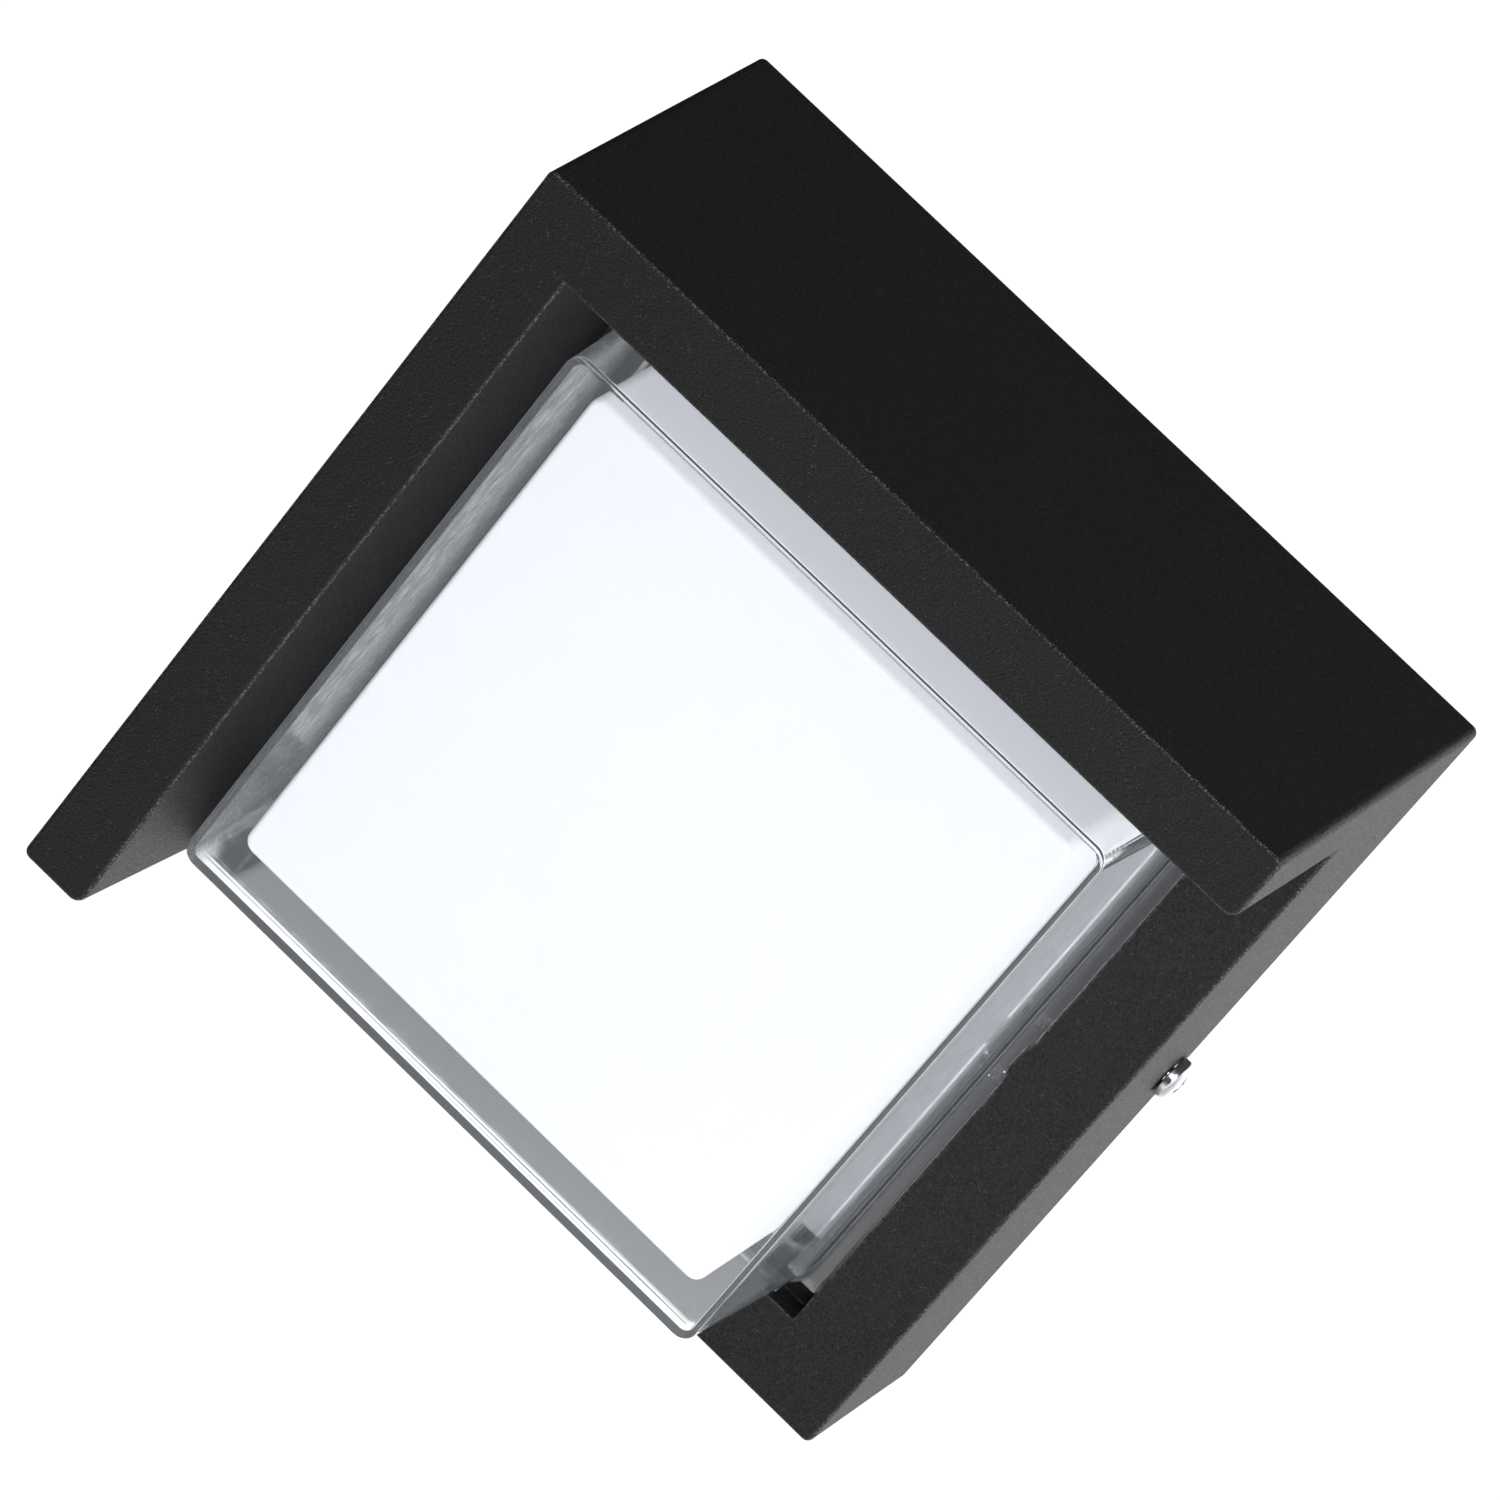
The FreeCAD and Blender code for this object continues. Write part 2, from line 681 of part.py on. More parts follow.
def box(doc, label, length, width, height, centre, start):
    """A block with its faces along the lamp's axes, from one height towards the front."""
    item = doc.addObject("Part::Box", label)
    item.Label = label
    item.setExpression("Length", bound(length))
    item.setExpression("Width", bound(height))
    item.setExpression("Height", bound(width))
    across = number(centre[0]) - number(length) / 2
    depth = -number(start) - number(height)
    up = number(centre[1]) - number(width) / 2
    item.Placement = FreeCAD.Placement(FreeCAD.Vector(across, depth, up), FreeCAD.Rotation())
    return item


def make_led_chips(doc):
    """Five rows of five chips on the board."""
    start = "floor_height + pad_thickness + board_thickness"
    chips = []
    for row in range(-2, 3):
        for column in range(-2, 3):
            centre = ("chip_pitch * %d" % column, "chip_pitch * %d" % row)
            name = "led_chip_%d_%d" % (row + 3, column + 3)
            chips.append(box(doc, name, "chip_length", "chip_width", "chip_height",
                             centre, start))
    return group(doc, "led_chips", chips)


def group(doc, label, items):
    """Identical pieces kept together as separate solids in one sub-part."""
    compound = doc.addObject("Part::Compound", label)
    compound.Label = label
    compound.Links = items
    return compound


# ---------------------------------------------------------------- driver

def make_driver_case(doc):
    """The driver's case: a tray open to the rear, with an ear for a screw at each end."""
    body = new_body(doc, "driver_case")
    centre = ("0", "driver_offset")
    outline = sketch_on(body, "driver_outline", "driver_bottom")
    rectangle(outline, "driver_length", "driver_width", centre)
    pad(body, outline, "driver_height")
    inside = sketch_on(body, "driver_inside", "driver_bottom")
    rectangle(inside, "driver_length - 2 * driver_wall", "driver_width - 2 * driver_wall", centre)
    pocket(body, inside, "driver_height - driver_wall", from_rear=True)
    ear_start = "driver_bottom + driver_height - driver_ear_height"
    for side, name in (("", "right_ear"), ("-", "left_ear")):
        ear = sketch_on(body, name, ear_start)
        rectangle(ear, "driver_ear_length", "driver_ear_width",
                  (side + "driver_screw_offset", "driver_offset"))
        pad(body, ear, "driver_ear_height")
    centres = [("driver_screw_offset", "driver_offset"), ("-driver_screw_offset", "driver_offset")]
    holes(body, "driver_ear_holes", centres, "medium_screw_radius + part_gap",
          ear_start, "driver_ear_height")
    notch_at = [("led_lead_offset + led_lead_pitch / 2 * %d" % side, "0 - led_lead_height")
                for side in (1, -1)]
    lead_notches(body, "led_lead_notches", notch_at, "led_lead_radius + part_gap")
    supply_at = [("-terminal_pitch", "0 - lead_height"), ("0", "0 - lead_height")]
    lead_notches(body, "supply_lead_notches", supply_at, "lead_radius + part_gap")
    return body


def lead_notches(body, name, centres, radius):
    """Round holes for leads through the case's lower side wall."""
    sketch = sketch_on(body, name, "driver_offset - driver_width / 2", "XY_Plane")
    circles(sketch, centres, radius)
    pocket(body, sketch, "driver_wall", from_rear=True)


def make_driver_lid(doc):
    """The flat lid that closes the driver's case."""
    return box(doc, "driver_lid", "driver_length", "driver_width", "driver_wall",
               ("0", "driver_offset"), "driver_bottom - driver_wall")


def make_driver_board(doc):
    """The driver's circuit board."""
    return box(doc, "driver_board", "driver_board_length", "driver_board_width",
               "board_thickness", ("0", "driver_offset"), "driver_board_bottom")


def make_transformer(doc):
    """The driver's transformer: a wound bobbin between two flanges of its core."""
    start = "driver_board_bottom + board_thickness"
    centre = ("terminal_pitch", "driver_offset")
    core = box(doc, "transformer_core", "transformer_side", "transformer_side * 0.9",
               "transformer_height", centre, start)
    winding = doc.addObject("Part::Cylinder", "transformer_winding")
    winding.setExpression("Radius", bound("transformer_height * 0.45"))
    winding.setExpression("Height", bound("transformer_side * 1.2"))
    middle = FreeCAD.Vector(number(centre[0]),
                            -number(start + " + transformer_height / 2"),
                            number("driver_offset - transformer_side * 0.6"))
    winding.Placement = FreeCAD.Placement(middle, FreeCAD.Rotation())
    fused = doc.addObject("Part::Fuse", "driver_transformer")
    fused.Label = "driver_transformer"
    fused.Base = core
    fused.Tool = winding
    return fused


def make_capacitor(doc):
    """The driver's reservoir capacitor, lying on the board."""
    can = doc.addObject("Part::Cylinder", "driver_capacitor")
    can.Label = "driver_capacitor"
    can.setExpression("Radius", bound("capacitor_radius"))
    can.setExpression("Height", bound("capacitor_length"))
    height = number("driver_board_bottom + board_thickness + capacitor_radius")
    start = FreeCAD.Vector(number("-driver_board_length / 2 + 4"), -height, number("driver_offset"))
    along = FreeCAD.Rotation(FreeCAD.Vector(0, 0, 1), FreeCAD.Vector(1, 0, 0))
    can.Placement = FreeCAD.Placement(start, along)
    return can


# ---------------------------------------------------------------- terminals, earth and leads

def make_terminal_block(doc):
    """The three-way block that the supply cable is wired to."""
    body = new_body(doc, "terminal_block")
    outline = sketch_on(body, "terminal_outline", "terminal_bottom")
    rectangle(outline, "terminal_length", "terminal_width", ("0", "-terminal_offset"))
    pad(body, outline, "terminal_height")
    holes(body, "terminal_wells", terminal_places(), "terminal_well_radius",
          "terminal_bottom", "terminal_well_depth")
    return body


def terminal_places():
    """The centres of the three terminals."""
    return [("terminal_pitch * %d" % index, "-terminal_offset") for index in (-1, 0, 1)]


def lead(doc, label, role, height, points, profile_at, radius, bend):
    """A round lead along straight runs joined by tangent arcs, starting parallel to z."""
    body = new_body(doc, label)
    spine = sketch_on(body, label + "_path", height, role)
    rounded_path(spine, points, bend)
    profile = sketch_on(body, label + "_section", profile_at[2], "XY_Plane")
    circles(profile, [(profile_at[0], profile_at[1])], radius)
    pipe = body.newObject("PartDesign::AdditivePipe", label + "_pipe")
    pipe.Profile = profile
    doc.recompute()
    pipe.Spine = (spine, ["Edge%d" % number for number in range(1, spine.GeometryCount + 1)])
    body.Tip = pipe
    return body


def rounded_path(sketch, points, bend):
    """Lines between points, with an arc of one radius at each inner point."""
    corners = [FreeCAD.Vector(number(across), number(up), 0) for across, up in points]
    last = corners[0]
    for before, corner, after in zip(corners, corners[1:], corners[2:]):
        arrive = (corner - before).normalize()
        leave = (after - corner).normalize()
        turn = arrive.getAngle(leave)
        reach = bend * math.tan(turn / 2)
        start = corner - arrive * reach
        end = corner + leave * reach
        inward = (leave - arrive).normalize()
        middle = corner + inward * (bend / math.cos(turn / 2) - bend)
        sketch.addGeometry(Part.LineSegment(last, start))
        sketch.addGeometry(Part.Arc(start, middle, end))
        last = end
    sketch.addGeometry(Part.LineSegment(last, corners[-1]))
    for index in range(sketch.GeometryCount):
        sketch.addConstraint(Sketcher.Constraint("Block", index))


def make_supply_leads(doc):
    """Live and neutral, from the terminals to the driver, and earth to its lug."""
    low = "-terminal_offset + terminal_width / 2"
    high = "driver_offset - driver_width / 2 + driver_wall"
    level = "-lead_height"
    leads = []
    for label, start, sway in (("lead_live", "-terminal_pitch", "-5"),
                               ("lead_neutral", "0", "-5")):
        middle = start + " " + sway.replace("-", "- ")
        points = [(start, low), (start, low + " + 8"), (middle, "-7"), (start, "4"), (start, high)]
        leads.append(lead(doc, label, "XZ_Plane", "lead_height", points,
                          (start, level, low), "lead_radius", 6))
    lug_edge = "earth_offset - lug_length / 2"
    points = [("terminal_pitch", low), ("terminal_pitch", low + " + 7"),
              ("terminal_pitch + 9", "-earth_drop"), (lug_edge, "-earth_drop")]
    leads.append(lead(doc, "lead_earth", "XZ_Plane", "lead_height", points,
                      ("terminal_pitch", level, low), "lead_radius", 6))
    return leads


def make_led_leads(doc):
    """Two leads from the driver through the floor to the LED board."""
    leads = []
    high = "driver_offset - driver_width / 2 + driver_wall"
    for label, side in (("led_lead_positive", 1), ("led_lead_negative", -1)):
        across = "led_lead_offset + led_lead_pitch / 2 * %d" % side
        points = [("-led_lead_height", high), ("-led_lead_height", "0"),
                  ("-(floor_height + pad_thickness)", "0")]
        leads.append(lead(doc, label, "YZ_Plane", across, points,
                          (across, "-led_lead_height", high), "led_lead_radius", 5))
    return leads


def make_earth_lug(doc):
    """The flat lug that the earth lead is crimped to, under the earth screw."""
    body = new_body(doc, "earth_lug")
    start = "earth_boss_height - lug_thickness"
    centre = ("earth_offset", "-earth_drop")
    outline = sketch_on(body, "lug_outline", start)
    rectangle(outline, "lug_length", "lug_width", centre)
    pad(body, outline, "lug_thickness")
    barrel = sketch_on(body, "lug_barrel", "lead_height - lead_radius")
    rectangle(barrel, "0.8", "lug_width", ("earth_offset - lug_length / 2 + 0.4", "-earth_drop"))
    pad(body, barrel, "earth_boss_height - lead_height + lead_radius")
    holes(body, "lug_hole", [centre], "large_screw_radius + part_gap", start, "lug_thickness")
    return body


# ---------------------------------------------------------------- turned rubber parts

def revolved(doc, label, outline, at):
    """A ring turned about an axis square to the wall, from (radius, height) corners."""
    body = new_body(doc, label)
    sketch = sketch_on(body, label + "_half", "0", "XY_Plane")
    polygon(sketch, [(radius, "-(" + height + ")") for radius, height in outline])
    turned = body.newObject("PartDesign::Revolution", label + "_turned")
    turned.Profile = sketch
    turned.ReferenceAxis = (sketch, ["V_Axis"])
    turned.Angle = 360
    body.Tip = turned
    body.Placement = FreeCAD.Placement(FreeCAD.Vector(number(at[0]), 0, number(at[1])),
                                       FreeCAD.Rotation())
    return body


def make_cable_grommet(doc):
    """The rubber grommet that seals the supply cable in the rear plate."""
    rear = "rear_plate_start - screw_gap"
    front = "rear_plate_start + rear_plate_thickness + screw_gap"
    neck = "grommet_hole_radius - screw_gap"
    outline = [("grommet_bore_radius", "grommet_start"), ("grommet_flange_radius", "grommet_start"),
               ("grommet_flange_radius", rear), (neck, rear), (neck, front),
               ("grommet_flange_radius - 0.5", front), ("grommet_hole_radius", "grommet_end"),
               ("grommet_bore_radius", "grommet_end")]
    return revolved(doc, "cable_grommet", outline, ("0", "0"))


def make_lead_grommet(doc):
    """The small grommet that guards the LED leads in the casting's floor."""
    rear = "floor_height - casting_wall"
    neck = "lead_hole_radius - screw_gap"
    outline = [("lead_bore_radius", rear + " - 1.2"), ("lead_hole_radius + 1.4", rear + " - 1.2"),
               ("lead_hole_radius + 1.4", rear + " - screw_gap"), (neck, rear + " - screw_gap"),
               (neck, "floor_height - part_gap"), ("lead_bore_radius", "floor_height - part_gap")]
    return revolved(doc, "lead_grommet", outline, ("led_lead_offset", "0"))


# ---------------------------------------------------------------- rear plate

def make_rear_plate(doc):
    """The sheet-steel plate that closes the driver's space."""
    body = plate(doc, "rear_plate", "rear_plate_side", "rear_plate_corner",
                 "rear_plate_start", "rear_plate_thickness")
    holes(body, "rear_plate_holes", at_corners("boss_offset"), "medium_screw_radius + part_gap",
          "rear_plate_start", "rear_plate_thickness")
    holes(body, "rear_plate_inlet", [("0", "0")], "grommet_hole_radius",
          "rear_plate_start", "rear_plate_thickness")
    return body


# ---------------------------------------------------------------- wall bracket

def make_bracket(doc):
    """A flat steel strip with a tab bent up at each end, tapped for a side screw."""
    body = new_body(doc, "wall_bracket")
    strip = sketch_on(body, "bracket_strip", "0")
    rectangle(strip, "bracket_length - 2 * bracket_thickness", "bracket_width")
    pad(body, strip, "bracket_thickness")
    for side, name in (("", "right_tab"), ("-", "left_tab")):
        tab = sketch_on(body, name, "0")
        offset = side + "(bracket_length - bracket_thickness) / 2"
        rectangle(tab, "bracket_thickness", "bracket_tab_width", (offset, "0"))
        pad(body, tab, "bracket_tab_height")
    rear = number("bracket_length / 2 - 0.01")
    fillet(doc, body, lambda box: min(abs(box.XMin), abs(box.XMax)) > rear and box.YMax > -0.01
           and box.YLength < 0.01, "bracket_thickness * 0.75", "bracket_bends")
    holes(body, "bracket_cable_hole", [("0", "0")], "bracket_cable_radius",
          "0", "bracket_thickness")
    wall_at = [("bracket_hole_spacing / 2", "0"), ("-bracket_hole_spacing / 2", "0")]
    holes(body, "bracket_wall_holes", wall_at, "bracket_hole_radius", "0", "bracket_thickness")
    earth_at = [("bracket_earth_offset", "bracket_earth_rise")]
    holes(body, "bracket_earth_hole", earth_at, "large_screw_radius + screw_gap",
          "0", "bracket_thickness")
    tapped = sketch_on(body, "tab_screw_holes", "-bracket_length / 2", "YZ_Plane")
    circles(tapped, [("-side_screw_height", "0")], "side_screw_radius + screw_gap")
    pocket(body, tapped, "bracket_length", from_rear=True)
    return body


# ---------------------------------------------------------------- screws

def screw(doc, label, size, length, seat, direction):
    """A pan-head screw with a cross recess; its head's underside is on the seat."""
    body = new_body(doc, label)
    shank = size + "_screw_radius"
    head = size + "_head_radius"
    height = size + "_head_height"
    profile = sketch_on(body, label + "_profile", "0")
    polygon(profile, [("0", "-(" + length + ")"), (shank + " * 0.7", "-(" + length + ")"),
                      (shank, "-(" + length + ") + " + shank + " * 0.4"), (shank, "0"),
                      (head, "0"), (head, height + " * 0.42"),
                      (head + " * 0.9", height + " * 0.74"), (head + " * 0.62", height + " * 0.95"),
                      ("0", height)])
    turned = body.newObject("PartDesign::Revolution", label + "_turned")
    turned.Profile = profile
    turned.ReferenceAxis = (profile, ["V_Axis"])
    turned.Angle = 360
    body.Tip = turned
    arm = head + " * screw_recess_share"
    half = head + " * 0.13"
    low_arm = "-" + arm
    low_half = "-" + half
    recess = sketch_on(body, label + "_recess", height, "XY_Plane")
    polygon(recess, [(arm, low_half), (arm, half), (half, half), (half, arm), (low_half, arm),
                     (low_half, half), (low_arm, half), (low_arm, low_half),
                     (low_half, low_half), (low_half, low_arm), (half, low_arm),
                     (half, low_half)])
    pocket(body, recess, height + " * 0.6")
    turn = FreeCAD.Rotation(FreeCAD.Vector(0, 0, 1), direction)
    body.Placement = FreeCAD.Placement(seat, turn)
    return body


def screw_set(doc, label, size, length, centres, height, direction):
    """Equal screws at centres given as expressions, with their heads on one height."""
    screws = []
    for index, (across, up) in enumerate(centres, start=1):
        seat = FreeCAD.Vector(number(across), -number(height), number(up))
        screws.append(screw(doc, "%s_%d" % (label, index), size, length, seat, direction))
    return group(doc, label, screws)


def make_screw_sets(doc):
    """The screws of the diffuser, the LED board and the rear plate."""
    board_top = "floor_height + pad_thickness + board_thickness"
    return [
        screw_set(doc, "diffuser_screws", "small", "diffuser_screw_length",
                  at_sides("diffuser_screw_offset"), "floor_height - casting_wall", TOWARDS_WALL),
        screw_set(doc, "board_screws", "medium", "board_screw_length",
                  at_corners("board_screw_offset"), board_top, TOWARDS_FRONT),
        screw_set(doc, "rear_plate_screws", "medium", "rear_screw_length",
                  at_corners("boss_offset"), "rear_plate_start", TOWARDS_WALL),
    ]


def make_single_screws(doc):
    """The screws of the driver, the terminals, the earth points and the bracket's sides."""
    made = []
    ear = -number("driver_bottom + driver_height - driver_ear_height")
    pair = []
    for index, side in enumerate((1, -1), start=1):
        seat = FreeCAD.Vector(side * number("driver_screw_offset"), ear, number("driver_offset"))
        pair.append(screw(doc, "driver_screw_%d" % index, "medium", "driver_screw_length",
                          seat, TOWARDS_WALL))
    made.append(group(doc, "driver_screws", pair))
    clamps = []
    for index, (across, up) in enumerate(terminal_places(), start=1):
        depth = -number("terminal_bottom + terminal_well_depth - 2.5")
        seat = FreeCAD.Vector(number(across), depth, number(up))
        clamps.append(screw(doc, "terminal_screw_%d" % index, "small", "2.4", seat, TOWARDS_WALL))
    made.append(group(doc, "terminal_screws", clamps))
    earth_seat = FreeCAD.Vector(number("earth_offset"), -number("earth_boss_height - lug_thickness"),
                                -number("earth_drop"))
    made.append(screw(doc, "earth_screw", "large", "earth_screw_length", earth_seat, TOWARDS_WALL))
    bracket_seat = FreeCAD.Vector(number("bracket_earth_offset"), -number("bracket_thickness"),
                                  number("bracket_earth_rise"))
    made.append(screw(doc, "bracket_earth_screw", "large", "bracket_earth_length", bracket_seat,
                      TOWARDS_FRONT))
    for label, side in (("side_screw_right", 1), ("side_screw_left", -1)):
        seat = FreeCAD.Vector(side * number("side_screw_seat"), -number("side_screw_height"), 0)
        made.append(screw(doc, label, "side", "side_screw_length", seat,
                          FreeCAD.Vector(side, 0, 0)))
    return made


# ---------------------------------------------------------------- whole lamp

def make_lamp(doc):
    """Every sub-part of the lantern, in the lamp's own frame."""
    parts = [
        make_housing(doc),
        make_cover(doc),
        ring(doc, "cover_gasket", "cover_gasket_side", "cover_gasket_width",
             "cover_gasket_corner", "ledge_height", "gasket_height"),
        make_diffuser(doc),
        make_thermal_pad(doc),
        make_led_board(doc),
        make_led_chips(doc),
        make_driver_case(doc),
        make_driver_lid(doc),
        make_driver_board(doc),
        make_transformer(doc),
        make_capacitor(doc),
        make_terminal_block(doc),
        make_earth_lug(doc),
        make_lead_grommet(doc),
        make_rear_plate(doc),
        ring(doc, "rear_gasket", "rear_gasket_side", "rear_gasket_width", "rear_plate_corner",
             "rear_plate_start + rear_plate_thickness",
             "rear_recess_height - rear_plate_start - rear_plate_thickness"),
        make_cable_grommet(doc),
        make_bracket(doc),
    ]
    parts += make_supply_leads(doc)
    parts += make_led_leads(doc)
    parts += make_screw_sets(doc)
    parts += make_single_screws(doc)
    return parts


def hang_corner_up(parts):
    """Turns every sub-part with the lamp, about the wall's normal through the centre."""
    turn = FreeCAD.Placement(FreeCAD.Vector(), CORNER_UP)
    for part in parts:
        part.Placement = turn.multiply(part.Placement)


def check_document(doc):
    """Stops if a feature failed, or if a cut removed nothing."""
    for item in doc.Objects:
        states = " ".join(item.State)
        if "Invalid" in states or "Error" in states:
            raise RuntimeError("%s did not recompute: %s" % (item.Label, states))
        cuts = item.TypeId in ("PartDesign::Pocket", "PartDesign::SubtractiveLoft")
        if cuts and item.Shape.Volume > item.BaseFeature.Shape.Volume - 0.01:
            raise RuntimeError("%s cut nothing" % item.Label)


def write_parts(parts):
    """One STEP file for each sub-part, after a check of its shape."""
    os.makedirs("parts", exist_ok=True)
    for part in parts:
        if part.Shape.isNull() or not part.Shape.isValid():
            raise RuntimeError("%s has no valid shape" % part.Label)
        part.Shape.exportStep("parts/" + part.Label + ".step")
        print("%-22s %10.1f mm3" % (part.Label, part.Shape.Volume))


def main():
    doc = FreeCAD.newDocument("WallLantern")
    make_sheet(doc)
    parts = make_lamp(doc)
    doc.recompute()
    hang_corner_up(parts)
    doc.recompute()
    check_document(doc)
    write_parts(parts)


main()
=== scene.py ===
import json
import math

import bmesh
import bpy
from mathutils import Euler, Matrix, Vector


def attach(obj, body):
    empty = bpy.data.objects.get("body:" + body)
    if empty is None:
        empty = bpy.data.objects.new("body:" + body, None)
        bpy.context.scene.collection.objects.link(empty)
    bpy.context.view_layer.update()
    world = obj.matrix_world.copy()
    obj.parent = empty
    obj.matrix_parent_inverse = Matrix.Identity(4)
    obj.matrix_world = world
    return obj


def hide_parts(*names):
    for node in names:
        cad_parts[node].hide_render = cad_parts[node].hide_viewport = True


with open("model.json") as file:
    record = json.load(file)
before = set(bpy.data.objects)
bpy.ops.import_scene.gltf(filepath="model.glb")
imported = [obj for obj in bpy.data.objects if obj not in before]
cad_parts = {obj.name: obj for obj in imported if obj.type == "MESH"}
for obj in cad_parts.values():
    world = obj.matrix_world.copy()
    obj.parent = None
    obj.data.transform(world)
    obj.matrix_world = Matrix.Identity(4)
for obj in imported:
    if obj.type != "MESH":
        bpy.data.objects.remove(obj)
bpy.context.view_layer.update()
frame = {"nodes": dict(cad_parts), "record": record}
nodes = frame["nodes"]

# Camera: a long lens a little right of and above the lamp, turned slightly clockwise.
CAMERA_PLACE = (0.5408, -1.1623, 0.2980)
CAMERA_AZIMUTH = 25.608
CAMERA_ELEVATION = 13.164
CAMERA_ROLL = -6.095
CAMERA_LENS = 179.55
CAMERA_REACH = 100
SENSOR = 36.0
FLOOR_HEIGHT = -0.35
FLOOR_SIZE = 30.0

# The glow that the lamp sees in the floor, from this far in front of the wall to this far
# behind it, and the level that it is multiplied by. The camera sees the floor white.
FLOOR_GLOW_REACH = 2.0
FLOOR_GLOW = [(0.0, 0.04), (0.22, 0.2), (0.34, 0.9), (0.44, 0.35), (0.5, 0.5), (0.56, 1.0)]
FLOOR_LEVEL = 1.25

# One square light, and the dim room round it.
KEY_PLACE = (0.9, -1.2, 0.2)
KEY_SIZE = 1.0
KEY_POWER = 9
ROOM_COLOUR = (0.8, 0.85, 1.0, 1)
ROOM_LEVEL = 0.08

# The lamp's own frame is turned by 45 degrees about Y, so that a corner is at the top.
# Sizes below are in millimetres in that frame; a height is a distance from the wall.
LAMP_TURN = Matrix.Rotation(math.radians(45), 4, "Y")
MM = 0.001

# Steps in a round corner and in a fillet, and the smallest corner radius of a ring.
CORNER_STEPS = 8
FILLET_STEPS = 5
LEAST_CORNER = 0.2

# Edges that bend by more degrees than this stay sharp.
SHARP_ANGLE = 32
SCREW_SHARP_ANGLE = 40

# The clear cover's flange, with its opening and the start of the cut in each corner.
FLANGE_HALF = 66.9
FLANGE_CORNER = 3.0
FLANGE_EDGE = 0.25
FLANGE_OPENING_HALF = 59.6
FLANGE_OPENING_CORNER = 4.0
FLANGE_NOTCH_START = 61.6
FLANGE_START = 37.0
FLANGE_TOP = 39.5

# The clear cover's box, from its root on the flange to its front.
COVER_ROOT_HALF = 63.5
COVER_ROOT_CORNER = 5.0
COVER_ROOT_FILLET = 1.2
COVER_FRONT_HALF = 60.55
COVER_FRONT_CORNER = 3.0
COVER_FRONT_FILLET = 0.5
COVER_INNER_FILLET = 0.3
COVER_TOP = 83.9
COVER_WALL = 1.1
COVER_FRONT_THICKNESS = 2.0

# A cut reaches CUT_MARGIN past the faces it goes through. The cut in a corner of the flange
# ends just above the flange, so that the walls stay whole.
CUT_MARGIN = 1
PIT_ABOVE_FLANGE = 0.02

# The notch for the key in the middle of each side.
KEY_HALF = 5.3
KEY_TIP_HALF = 2.3
KEY_REACH = 66.2

# The snap hooks, two on each side. A stem starts HOOK_ROOT inside the flange.
HOOK_SHIFT = 6.6
HOOK_WIDTH = 1.8
HOOK_INNER = 64.2
HOOK_OUTER = 65.8
HOOK_REACH = 0.9
HOOK_START = 30.2
HOOK_HEAD_TOP = 31.8
HOOK_ROOT = 1
HOOK_OVERLAP = 0.3
HOOK_HEAD_INSET = 0.01

# The opal diffuser, from its flange to its front.
DIFFUSER_FLANGE_HALF = 59.0
DIFFUSER_FLANGE_CORNER = 1.5
DIFFUSER_FLANGE_EDGE = 0.2
DIFFUSER_START = 27.2
DIFFUSER_FLANGE_TOP = 29.2
DIFFUSER_ROOT_HALF = 55.9
DIFFUSER_ROOT_CORNER = 3.5
DIFFUSER_ROOT_FILLET = 0.6
DIFFUSER_FRONT_HALF = 54.55
DIFFUSER_FRONT_CORNER = 2.5
DIFFUSER_FRONT_FILLET = 1.0
DIFFUSER_FRONT_STEPS = 6
DIFFUSER_INNER_FILLET = 0.5
DIFFUSER_TOP = 76.7
DIFFUSER_WALL = 2.0

# The side screws. The seat is the outer face of the base, under the head.
SCREW_SEAT = 85.05
SCREW_HEIGHT = 5.7
SCREW_SIDES = 48
SCREW_LENGTH = 13.0
SCREW_RADIUS = 2.0
SCREW_TIP_RADIUS = 0.6 * SCREW_RADIUS
SCREW_POINT_RADIUS = 0.02
SCREW_NECK_START = 0.8
SCREW_NECK_END = 0.05
SCREW_HEAD_RADIUS = 4.3
SCREW_HEAD_HEIGHT = 2.8
SCREW_HEAD_EDGE = 0.2
SCREW_HEAD_SIDE = 0.42 * SCREW_HEAD_HEIGHT
SCREW_HEAD_STEPS = 8
SCREW_DOME_POWER = 0.7

# The thread starts a little behind the tip and ends before the neck.
THREAD_PITCH = 0.7
THREAD_VALLEY = 0.82 * SCREW_RADIUS
THREAD_START = 0.4
THREAD_ENDS = 1.2
THREAD_CREST = (0.45 * THREAD_PITCH, 0.55 * THREAD_PITCH)

# The cross recess: an arm's half length and half width, each times a share at its two levels.
RECESS_ARM = 0.56 * SCREW_HEAD_RADIUS
RECESS_HALF_WIDTH = 0.13 * SCREW_HEAD_RADIUS
RECESS_TOP = SCREW_SEAT + SCREW_HEAD_HEIGHT + 0.3
RECESS_TOP_SHARE = 1.1
RECESS_BOTTOM = SCREW_SEAT + SCREW_HEAD_HEIGHT * 0.35
RECESS_BOTTOM_SHARE = 0.62
RECESS_TURN = math.radians(20)

# The direction of the lamp's upper left side.
UPPER_LEFT = (-math.sqrt(0.5), 0, math.sqrt(0.5))

# Painted light: a faint bluish glow over the whole clear cover, though it is no lamp, which shows
# most at its edges.
COVER_PAINTED_GLOW = 0.02

# How much hazier the cover's upper left wall is than the others, and where that wall starts
# and is fully hazy: metres from the lamp's middle towards the upper left.
CLOUDY_SIDE = 5.0
CLOUDY_FROM = 0.056
CLOUDY_TO = 0.059

# Strength of the mould lines up the cover's walls, from the flange to the front.
COVER_LINES = [(0.0, 0.9), (0.2, 0.6), (0.35, 0.1), (0.75, 0.05), (0.9, 0.35), (1.0, 0.45)]

# Strength of the painted light on the opal diffuser, which glows in place of the light that falls on
# it.
DIFFUSER_PAINTED_LIGHT = 0.66

